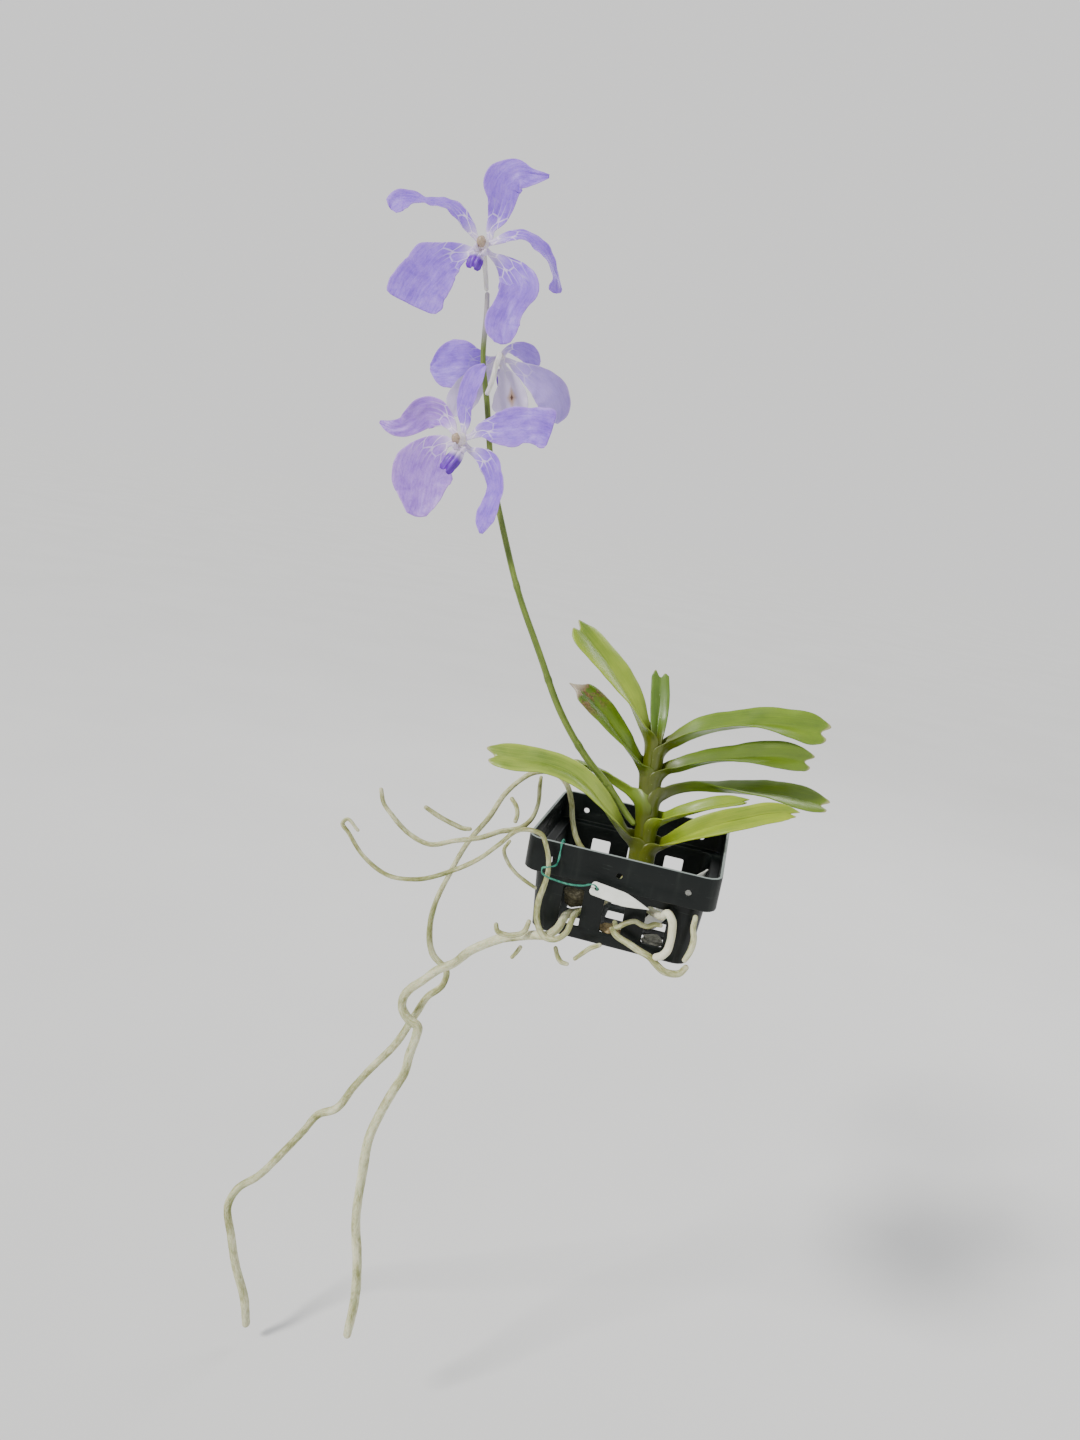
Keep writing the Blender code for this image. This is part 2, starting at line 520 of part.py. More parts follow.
def leaf_grid(rows, side, towards, columns, count):
    """The middle surface of a leaf: a sheath round the stem that opens into a folded blade."""
    rows = smooth(rows, count)
    tangents = unit(np.gradient(rows[:, :3], axis=0))
    inward = carried(tangents, np.array(towards, float))
    facing = side * np.cross(tangents, inward)
    grid = np.empty((count, columns, 3))
    for i, (x, y, z, half, fold, roll, sheath, sheath_radius) in enumerate(rows):
        fold, roll = math.radians(fold), math.radians(roll)
        up = math.cos(roll) * inward[i] + math.sin(roll) * facing[i]
        out = math.cos(roll) * facing[i] - math.sin(roll) * inward[i]
        share = min(max(sheath, 0.0), 1.0)
        for j, a in enumerate(np.linspace(-1, 1, columns)):
            wrap = math.radians(SHEATH_WRAP) * a
            blade = half * (abs(a) * math.cos(fold) * up + a * math.sin(fold) * out)
            hug = sheath_radius * ((1 - math.cos(wrap)) * inward[i] + math.sin(wrap) * facing[i])
            back = NOTCH * (1 - abs(a)) * (i == count - 1) * tangents[i]
            grid[i, j] = np.array([x, y, z]) + share * hug + (1 - share) * blade - back
    return grid


def build_leaf(name, side, foot, top, blade, parent):
    rows = []
    for height in (foot, (foot + top) / 2, top):
        x, z, radius = stem_at(height)
        hug = radius + SHEATH_GAP + LEAF_THICKNESS / 2
        rows.append((x + side * hug, height, z, hug * math.radians(SHEATH_WRAP), 45, 0, 1, hug))
    rows += [(row[0] + side * STEM_RADIUS, *row[1:], 0, rows[-1][-1]) for row in blade]
    grid = leaf_grid(rows, side, (-side, 0, 0), LEAF_COLUMNS, LEAF_ROWS)
    sheet(name, grid, LEAF_THICKNESS, "leaf", parent)


def tepal_grid(rows, columns, count, cup):
    """The middle surface of a petal or sepal, dished by a share of its width."""
    rows = smooth(rows, count)
    tangents = unit(np.gradient(rows[:, :3], axis=0))
    left = unit(np.cross((0.0, 0.0, 1.0), tangents))
    face = np.cross(tangents, left)
    grid = np.empty((count, columns, 3))
    for i, row in enumerate(rows):
        tilt = math.radians(row[5])
        across = math.cos(tilt) * left[i] + math.sin(tilt) * face[i]
        lift = math.cos(tilt) * face[i] - math.sin(tilt) * left[i]
        for j, a in enumerate(np.linspace(-1, 1, columns)):
            reach = -a * (row[3] if a < 0 else row[4])
            grid[i, j] = row[:3] + reach * across + cup * abs(reach) * abs(a) * lift
    return grid


def build_flower(name, parts, plant):
    """The tepals, lip and column of one flower, and the pedicel that joins it to the stalk."""
    centre = Matrix.Translation([value * MM for value in parts["centre"]])
    holder = add_empty(name + "_centre", centre, plant)
    for tepal in ("dorsal_sepal", "petal_left", "petal_right", "sepal_left", "sepal_right"):
        grid = tepal_grid(parts[tepal], TEPAL_COLUMNS, TEPAL_ROWS, TEPAL_CUP)
        sheet(f"{name}_{tepal}", grid, TEPAL_THICKNESS, "tepal", holder)
    grid = tepal_grid(parts["lip"], TEPAL_COLUMNS, LIP_ROWS, TEPAL_CUP)
    sheet(f"{name}_lip", grid, LIP_THICKNESS, "lip", holder)
    tube(f"{name}_column", parts["column"], 5, TUBE_SIDES, "column", holder)
    tube(f"{name}_pedicel", parts["pedicel"], 7, TUBE_SIDES, "pedicel", plant)


# ---- roots -----------------------------------------------------------------------------------

def left_of(level, route):
    """Places by the left of the basket: out from the collar, back from the middle, above level."""
    return [(-HALF - out, back, level + up, radius) for out, back, up, radius in route]


def front_of(level, route):
    """Places by the front of the basket: across from the middle, out from the collar, above level."""
    return [(across, -HALF - out, level + up, radius) for across, out, up, radius in route]


def start(bearing, depth):
    return [(*crown(bearing, depth), ROOT_START)]


def root_routes():
    """Each root's route as across, back, up and radius, with the number of rings that it needs."""
    sill = SLOT_BOTTOM
    head = SLOT_TOP
    rim = RIM_HEIGHT
    slot = SLOT_PITCH
    # Two roots share the left window of the front, each by one side of it.
    low_side = -slot - SLOT_WIDTH / 2 + ROOT_PLACE
    high_side = -slot + SLOT_WIDTH / 2 - ROOT_PLACE
    right_side = slot + SLOT_WIDTH / 2 - ROOT_PLACE
    return {
        "root_arch_long": (56, start(176, 10) + left_of(rim, [
            (-34, 1, -23, 1.6), (-20, 3, -16, 1.5), (-14, 5, -5, 1.5), (-11, 6, 6, 1.5),
            (-7, 7, 14, 1.5), (-2, 8, 18, 1.5), (6, 8, 19, 1.5), (13, 7, 17, 1.5),
            (20, 5, 11, 1.4), (26, 4, 3, 1.4), (33, 2, -13, 1.5), (43, 1, -31, 1.5),
            (50, 0, -51, 1.5), (56, 0, -73, 1.6), (57, 1, -85, 1.7), (53, 3, -104, 1.8),
            (43, 3, -113, 1.9), (44, 3, -121, 2.0), (52, 2, -131, 2.1), (57, 2, -143, 2.2),
            (67, 4, -167, 2.3), (83, 6, -193, 2.3), (91, 7, -207, 2.3), (101, 8, -226, 2.4),
            (112, 9, -234, 2.4), (120, 9, -248, 2.4), (134, 10, -271, 2.4), (149, 12, -294, 2.4),
            (162, 12, -308, 2.5), (167, 12, -321, 2.6), (162, 12, -345, 2.7), (157, 13, -366, 2.7),
            (148, 14, -391, 2.8), (145, 15, -410, 2.7)])),
        "root_thick": (48, start(218, 20) + [(-13, -24, -30.5, 2.0)] + front_of(sill, [
            (low_side + 0.4, -12, 3, 2.1), (low_side, -5, 2.8, 2.1),
            (low_side - 1.4, 0.5, -0.5, 2.2), (-30, 1.5, -4.5, 2.3),
            (-37, 0, -7, 2.4)]) + left_of(FLOOR, [
                (-3, -44, -6, 2.4), (6, -38, -12, 2.4), (15, -32, -20, 2.4), (25, -26, -30, 2.5),
                (34, -21, -42, 2.5), (43, -17, -50, 2.5), (52, -14, -61, 2.5), (59, -12, -69, 2.6),
                (63, -10, -77, 2.6), (63, -9, -84, 2.6), (58, -9, -90, 2.6), (52, -9, -93, 2.7),
                (52, -9, -99, 2.7), (54, -10, -112, 2.7), (55, -10, -123, 2.7),
                (60, -12, -137, 2.7), (65, -13, -152, 2.8), (69, -15, -168, 2.8),
                (69, -18, -192, 2.8), (68, -20, -222, 2.8), (63, -20, -252, 2.8),
                (61, -20, -278, 2.9), (62, -21, -302, 2.7)])),
        "root_branch_high": (22, left_of(rim, [
            (8, 4.4, 16, 1.0), (7.4, 2, 12, 1.2), (5.5, -4, 3, 1.2), (7, -8, -5, 1.3),
            (11, -11, -10, 1.5), (22, -15, -14, 1.4), (31, -17, -19, 1.4), (45, -18, -24, 1.4),
            (59, -20, -29, 1.4), (71, -20, -26, 1.4), (82, -22, -17, 1.3), (88, -22, -11, 1.2),
            (90.5, -22, -4, 1.2)])),
        "root_hook": (38, start(238, 12) + [
            (-6, -20, -21.5, 1.6), (-13.6, -31, -27.6, 1.6)] + front_of(sill, [
            (high_side, -8, 6, 1.6), (high_side, 0.5, 5.4, 1.6),
            (high_side - 1, 6, 1, 1.6), (-25, 7.5, -3.2, 1.6),
            (-30, 7.5, -3.4, 1.6), (-34, 7, 0, 1.6), (-36.5, 6.5, 6, 1.6)]) + front_of(rim, [
                (-37, 6, -30, 1.6), (-35.5, 6, -21, 1.4), (-35, 6, -14, 1.3), (-36, 6.5, -7, 1.2),
                (-38.5, 6.5, -0.5, 1.2)]) + [
                (-HALF + 9, -HALF - 7, rim + 4, 1.2), (-HALF + 4, -HALF - 7.4, rim + 5.4, 1.2),
                (-HALF - 2, -HALF - 7.6, rim + 4.4, 1.2), (-HALF - 12, -HALF - 8, rim - 6, 1.2),
                (-HALF - 20, -HALF - 8, rim - 15, 1.2), (-HALF - 34, -HALF - 7, rim - 26, 1.2),
                (-HALF - 53, -HALF - 6, rim - 36, 1.2), (-HALF - 68, -HALF - 5, rim - 38, 1.2),
                (-HALF - 84, -HALF - 4, rim - 31, 1.1), (-HALF - 94, -HALF - 3, rim - 21, 1.1),
                (-HALF - 98, -HALF - 3, rim - 16.5, 1.1), (-HALF - 96, -HALF - 3, rim - 14, 1),
                (-HALF - 89, -HALF - 3, rim - 18.5, 0.9)]),
        "root_branch_low": (12, left_of(rim, [
            (42.6, 0, -21.8, 1.3), (46, 0, -22.4, 1.4), (52, -1, -21, 1.4), (60, -3, -18, 1.4),
            (69, -4, -14, 1.2)])),
        "root_stub_rim": (6, left_of(rim, [
            (21.6, 1, 1, 1.2), (18, -1, -2, 1.3), (16, -4, -6, 1.3), (16, -6, -9, 1.2)])),
        "root_twig_left": (9, front_of(rim, [
            (-58, 2, -5, 0.9), (-60, 2, -10, 1.0), (-57, 2, -16, 1.0), (-52, 1.4, -21, 1.0),
            (-46, 0.4, -24.6, 1.0), (-41, -0.5, -27, 0.9)])),
        "root_curl_front": (9, front_of(FLOOR, [
            (-57, 4, 2, 1.2), (-56, 4, -1, 1.4), (-51, 4, -2, 1.4), (-46, 3.6, -1, 1.4),
            (-42, 3.4, 2, 1.4), (-40.6, 2.6, 7.5, 1.2)])),
        "root_tip_left": (5, front_of(FLOOR, [
            (-47.5, -6, -18, 1.1), (-45.5, -5.5, -14.4, 1.2), (-44, -5, -11, 1.2)])),
        "root_tip_under": (7, front_of(FLOOR, [
            (-25, -1, -4.6, 1.2), (-23, -0.5, -8.6, 1.3), (-20.6, 0, -10.8, 1.3),
            (-17.6, 0, -11, 1.1)])),
        "root_twig_middle": (7, front_of(FLOOR, [
            (-14, 0, -7, 1.1), (-11, 0, -3.4, 1.2), (-7, 0, 1, 1.3), (-3, -0.5, 3.4, 1.1)])),
        "root_twig_right": (10, front_of(sill, [
            (1.5, -11, 6, 1.2), (4, -3.4, 7, 1.3), (8, -2, 11, 1.3), (12, -2, 13, 1.3),
            (16, -2, 12, 1.3), (19, -2, 12, 1.3), (22, -2, 14, 1.3), (25, -2.4, 14, 1.1)])),
        "root_under_right": (14, front_of(sill, [
            (1, -10, 2.6, 1.5), (4.6, -3, 2.4, 1.7), (12, -2.4, 0, 1.8), (17, -2.4, -2, 1.8),
            (23, -2.4, -4, 1.8), (27, -2.4, -7, 1.8), (31, -2.4, -9.4, 1.8), (35, -3, -10, 1.8),
            (39, -3.4, -9, 1.7), (41.6, -3.4, -5, 1.5)])),
        "root_white": (14, start(300, 14) + front_of(head, [
            (15, -24, -7, 1.9), (slot, -11, -5, 2.0), (right_side, -6, -3.6, 2.0),
            (27.6, -1.4, 0.6, 2.1), (30, -0.5, -2, 2.1), (31.2, -0.5, -8, 2.1),
            (31.4, -0.5, -14, 2.1), (30.6, -0.5, -19, 2.1), (28.4, -0.5, -22, 2.0),
            (26, -1, -23.4, 1.8)])),
        "root_corner": (9, front_of(head, [
            (41, -2.4, 1.6, 1.4), (41, -2, -4, 1.5), (42.4, -2, -9, 1.6), (42.4, -2, -14, 1.6),
            (41.4, -2, -18.4, 1.5), (40.2, -2, -21.6, 1.3)])),
    }


# ---- labels and bark -------------------------------------------------------------------------

def plate(name, start_point, end_point, face, width, kind):
    """A flat label from one end to a pointed other end. Returns it and its own axes."""
    along = np.array(end_point, float) - np.array(start_point, float)
    length = np.linalg.norm(along)
    along = along / length
    face = unit(np.array(face, float) - along * (along @ np.array(face, float)))
    across = np.cross(face, along)
    shoulder = length - width * POINT_SHARE
    outline = [(0, -0.5), (shoulder, -0.5), (length, 0), (shoulder, 0.5), (0, 0.5)]
    points = []
    for level in (-0.5, 0.5):
        for run, share in outline:
            points.append(np.array(start_point) + along * run + across * share * width
                          + face * level * LABEL_THICKNESS)
    count = len(outline)
    faces = [tuple(range(count)), tuple(range(count, 2 * count))]
    faces += [(i, (i + 1) % count, count + (i + 1) % count, count + i) for i in range(count)]
    return add_object(name, points, faces, kind), along, face


def build_labels():
    end = (TAG_END[0], -HALF - TAG_END[1], TAG_END[2])
    point = (TAG_POINT[0], -HALF - TAG_POINT[1], TAG_POINT[2])
    tag, along, face = plate("label_tag", end, point, TAG_FACE, TAG_WIDTH, "label")
    hole = np.array(end) + along * HOLE_PLACE
    punch = pins("tag_punch", [(0, 0, 0)], TAG_HOLE / 2, TAG_WIDTH, True)
    across = np.cross(face, along)
    turn = np.eye(4)
    turn[:3, :3] = np.stack([face, along, across], axis=1)
    turn[:3, 3] = hole * MM
    punch.matrix_world = Matrix(turn.tolist())
    cut(tag, punch)
    inside = -HALF + BASKET_WALL + CLEARANCE + WIRE_RADIUS
    outside = -HALF - CLEARANCE - WIRE_RADIUS
    front = -HALF - WIRE_LOOP
    over = RIM_HEIGHT + CLEARANCE + WIRE_RADIUS
    x = WIRE_PLACE
    route = [
        (x, inside, RIM_HEIGHT - 8), (x, inside, RIM_HEIGHT - 2), (x, inside - 0.2, over - 0.2),
        (x - 0.2, (inside + outside) / 2, over + 0.7), (x - 0.4, outside - 0.2, over - 0.3),
        (x - 0.4, outside - 0.3, RIM_HEIGHT - 4), (x - 0.2, outside - 3, 2),
        (x - 0.6, front + 1.2, 0.6), (x - 3.5, front - 0.4, -0.4), (x - 6.6, front - 0.3, -1.8),
        (x - 6.4, front - 0.3, -4), (x - 3.5, front - 0.4, -5.6), (x + 1, front + 0.4, -6.6),
        (x + 7, front + 1, -7.2), (x + 14, front + 0.6, -6.2),
        tuple(hole + face * 3 - along * 1.6), tuple(hole + face * 1.2), tuple(hole - face * 2.4),
    ]
    tube("label_wire", [(*place, WIRE_RADIUS) for place in route], 34, 6, "wire")
    foot = (STAKE_FOOT[0], -HALF - STAKE_FOOT[1], FLOOR + BASKET_WALL + STAKE_FOOT[2])
    top = (STAKE_POINT[0], -HALF - STAKE_POINT[1], RIM_HEIGHT + STAKE_POINT[2])
    plate("label_stake", foot, top, STAKE_FACE, STAKE_WIDTH, "label")


def build_bark(name, place, size, swirl):
    """A rough lump of bark."""
    lump = bmesh.new()
    bmesh.ops.create_icosphere(lump, subdivisions=2, radius=0.5)
    for vertex in lump.verts:
        x, y, z = vertex.co * 2
        swell = 1 + 0.14 * math.sin(3.1 * x + swirl) * math.sin(2.7 * y - swirl)
        swell += 0.08 * math.sin(5 * z + swirl)
        vertex.co = vertex.co * swell
    middle = np.array([place[0] * HALF, place[1] * HALF, place[2]])
    points = [middle + np.array(vertex.co) * size for vertex in lump.verts]
    faces = [tuple(vertex.index for vertex in face.verts) for face in lump.faces]
    lump.free()
    add_object(name, points, faces, "bark", 0.9)


def main():
    clear_scene()
    build_basket()
    plant = add_empty("plant", plant_matrix())
    tube("stem", STEM, 14, STEM_SIDES, "stem", plant)
    for name, (side, foot, top, blade) in LEAVES.items():
        build_leaf(name, side, foot, top, blade, plant)
    rows = [(x, y, z - STEM_RADIUS, *rest, 0, 1) for x, y, z, *rest in YOUNGEST_LEAF]
    grid = leaf_grid(rows, 1, (0, 0, 1), LEAF_COLUMNS, YOUNGEST_ROWS)
    sheet("leaf_youngest", grid, LEAF_THICKNESS, "leaf", plant)
    tube("flower_stalk", STALK, 24, TUBE_SIDES, "stalk", plant)
    for name, parts in FLOWERS.items():
        build_flower(name, parts, plant)
    for name, (count, route) in root_routes().items():
        tube(name, route, count, ROOT_SIDES, "root")
    for name, (place, size, swirl) in BARK.items():
        build_bark(name, place, size, swirl)
    build_labels()


main()
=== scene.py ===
"""The looks of a blue-flowered orchid in a hanging slotted basket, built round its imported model.

Sizes and places are in millimetres, as in the part's source, and meshes are made in metres. The
plant's pieces have a frame of their own: X across the fan of leaves, Y up along the plant and Z
out of its face.
"""

import math

import bmesh
import bpy
import numpy as np
from mathutils import Matrix, Vector


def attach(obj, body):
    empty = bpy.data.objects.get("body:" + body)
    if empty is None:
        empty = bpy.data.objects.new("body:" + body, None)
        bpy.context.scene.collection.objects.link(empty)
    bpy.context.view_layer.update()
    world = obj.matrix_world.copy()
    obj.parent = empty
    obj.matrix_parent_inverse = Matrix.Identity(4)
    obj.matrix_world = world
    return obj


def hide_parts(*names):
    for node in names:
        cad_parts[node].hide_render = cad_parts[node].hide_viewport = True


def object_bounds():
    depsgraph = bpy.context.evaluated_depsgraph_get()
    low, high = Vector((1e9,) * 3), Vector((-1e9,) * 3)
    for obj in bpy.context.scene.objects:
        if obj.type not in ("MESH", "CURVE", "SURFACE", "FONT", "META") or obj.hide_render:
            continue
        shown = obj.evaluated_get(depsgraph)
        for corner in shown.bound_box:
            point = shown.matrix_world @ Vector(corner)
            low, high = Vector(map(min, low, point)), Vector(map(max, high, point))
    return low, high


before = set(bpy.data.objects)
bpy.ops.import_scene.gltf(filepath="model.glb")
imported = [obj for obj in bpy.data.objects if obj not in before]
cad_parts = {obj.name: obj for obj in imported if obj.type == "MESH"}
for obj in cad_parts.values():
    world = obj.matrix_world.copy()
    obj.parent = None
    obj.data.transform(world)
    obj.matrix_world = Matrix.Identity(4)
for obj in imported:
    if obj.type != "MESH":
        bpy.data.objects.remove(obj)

MM = 0.001
CAD_BOX = [list(corner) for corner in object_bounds()]

CLEARANCE = 0.4  # between pieces that touch

# The basket
BASKET_WIDTH = 100.0
BASKET_HEIGHT = 52.0
RIM_HEIGHT = 10.0  # above the hanger holes
COLLAR_DEPTH = 18.0
BASKET_WALL = 1.6
LEDGE = 5.5  # from the collar in to the body
BODY_TAPER = 2.5
CORNER_RADIUS = 8.0
CORNER_STEPS = 4
SLOT_PITCH = 22.0
SLOT_WIDTH = 11.0
SLOT_DROP = 6.0  # from the collar down to the slots
SLOT_SILL = 7.0  # from the slots down to the underside
FLOOR_SLOT = 14.0
HANGER_HOLE = 3.2
HANGER_PITCH = 35.0

# The plant's lean, in degrees
TURN = 11.0
TILT = 12.0
LEAN = 10.0

# Thicknesses
LEAF_THICKNESS = 1.4
LABEL_THICKNESS = 0.6
WIRE_RADIUS = 0.5
SHEATH_WRAP = 76.0  # degrees each way round the stem
NOTCH = 4.0

HALF = BASKET_WIDTH / 2
COLLAR_FOOT = RIM_HEIGHT - COLLAR_DEPTH
FLOOR = RIM_HEIGHT - BASKET_HEIGHT
SLOT_TOP = COLLAR_FOOT - SLOT_DROP
SLOT_BOTTOM = FLOOR + SLOT_SILL
SLOTS = (-SLOT_PITCH, 0.0, SLOT_PITCH)

# The stem: across, up, out, radius
STEM_RADIUS = 4.3  # among the leaves
STEM = [
    (2.0, -28, 0, 1.07 * STEM_RADIUS),
    (3.0, -16, 0, 1.30 * STEM_RADIUS),
    (4.6, -6, 0, 1.16 * STEM_RADIUS),
    (6.0, 2, 0, STEM_RADIUS),
    (7.0, 10, 0, 0.95 * STEM_RADIUS),
    (9.0, 32, 0, 0.91 * STEM_RADIUS),
    (11.0, 48, 0, 0.79 * STEM_RADIUS),
    (13.0, 61, 0, 0.60 * STEM_RADIUS),
    (13.6, 66, 0, 0.46 * STEM_RADIUS),
]

# The leaves: side of the stem, foot and top of the sheath, then the blade's keel as across (less
# the stem's radius), up, out, half width, fold of each half from the middle plane and roll towards
# the face, in degrees
LEAVES = {
    "leaf_right_1": (1, 45.5, 50.5, [(15.7, 54, 0.5, 7.5, 40, 5), (20.7, 56.5, 1, 8.5, 42, 8),
        (26.7, 59.5, 1, 9.5, 46, 12), (35.7, 63, 1, 10.5, 50, 20), (52.7, 66, 1, 11, 55, 25),
        (67.7, 67, 1, 11, 60, 35), (80.7, 66, 1, 10.5, 65, 50), (91.7, 64.5, 1, 10, 70, 65),
        (103.7, 62, 1, 7, 75, 70)]),
    "leaf_right_2": (1, 32, 37, [(15.2, 41, 1.5, 7, 42, 5), (20.7, 42.5, 4, 7.5, 46, 6),
        (28.7, 45, 5, 8, 50, 8), (39.7, 47.5, 5, 8.5, 55, 12), (52.7, 48.5, 5, 9, 58, 18),
        (65.7, 49.5, 5, 9.5, 62, 32), (77.7, 49.5, 5, 9, 66, 50), (93.7, 46.5, 5, 6, 72, 62)]),
    "leaf_right_3": (1, 20, 24.5, [(15.2, 28, -1.5, 7, 42, 5), (20.7, 29.8, -4, 7.5, 46, 8),
        (28.7, 31, -6, 8, 50, 12), (43.7, 30.5, -7, 8.5, 58, 25), (59.7, 29.5, -7, 9, 62, 40),
        (75.7, 28, -7, 9.5, 66, 55), (90.7, 25, -7, 9, 70, 65), (105.7, 21, -7, 6, 74, 65)]),
    "leaf_right_4": (1, 7, 11, [(14.2, 14.5, 2, 6, 42, 5), (19.7, 17.2, 6, 6.3, 46, 8),
        (25.7, 19.5, 9, 6.5, 50, 10), (33.7, 22, 11, 6.5, 52, 15), (45.7, 24.5, 12, 5.5, 56, 20),
        (57.7, 26, 12, 2.5, 60, 20)]),
    "leaf_right_5": (1, -8, -3, [(13.2, 0.5, 2, 6, 42, 8), (17.7, 3.5, 7, 6.5, 46, 18),
        (22.7, 7, 12.5, 7, 50, 32), (30.7, 11, 15.5, 7.5, 55, 45), (41.7, 14.8, 17.5, 7.5, 60, 55),
        (53.7, 17.5, 18, 7, 62, 60), (65.7, 20, 18, 6.5, 64, 62), (74.7, 20.5, 18, 5, 68, 65),
        (82.7, 19.5, 18, 2.5, 70, 65)]),
    "leaf_left_1": (-1, 53, 57, [(7.3, 68, 4, 9.5, 50, 12), (1.3, 82, 5, 11, 56, 28),
        (-6.7, 95, 5, 11.5, 58, 38), (-15.7, 107, 5, 11, 62, 42), (-22.7, 116, 5, 9.5, 66, 42),
        (-27.7, 123, 5, 6, 70, 42)]),
    "leaf_left_2": (-1, 36, 41, [(5.8, 47, 2.5, 7, 50, 8), (0.3, 55, 8, 7.5, 56, 20),
        (-6.7, 65, 10, 8.5, 64, 32), (-13.7, 74.5, 10, 9, 68, 40), (-21.7, 83, 10, 8, 70, 42),
        (-30.7, 90, 10, 3, 72, 42)]),
    "leaf_left_3": (-1, -5, 0, [(-1.2, 6.5, 2, 7, 50, 5), (-6.7, 14.5, 8, 7.5, 54, 15),
        (-13.7, 24.5, 12, 8, 60, 30), (-22.7, 35.5, 14, 8, 66, 42), (-33.7, 43, 14, 8, 70, 46),
        (-45.7, 47, 14, 8, 72, 48), (-59.7, 49, 14, 9, 74, 48), (-75.7, 51.5, 14, 6.5, 76, 48)]),
    "leaf_left_4": (-1, 18, 23, [(2.3, 29, -3, 6, 52, 5), (-3.2, 33, -8, 6, 56, 10),
        (-9.7, 37.5, -12, 6.5, 60, 20), (-17.7, 42, -14, 6, 65, 25), (-27.7, 47, -15, 3, 70, 30)]),
}

# The flower stalk: across, up, out, radius
STALK = [(0.2, 13.5, 1, 1.6), (-3.6, 18.5, 0, 1.9), (-9, 27, -0.5, 2), (-15, 36, -0.5, 2), (-23, 46, 0, 2),
    (-31, 58, 1, 1.9), (-39, 73, 2, 1.9), (-51, 106, 2, 1.8), (-63, 141, 2, 1.7), (-71, 174, 2, 1.7),
    (-77, 205, 2, 1.6), (-80, 245, 2, 1.6), (-82, 267, 2, 1.5), (-80, 294, 3, 1.4), (-79.6, 302, 4, 1.3)]

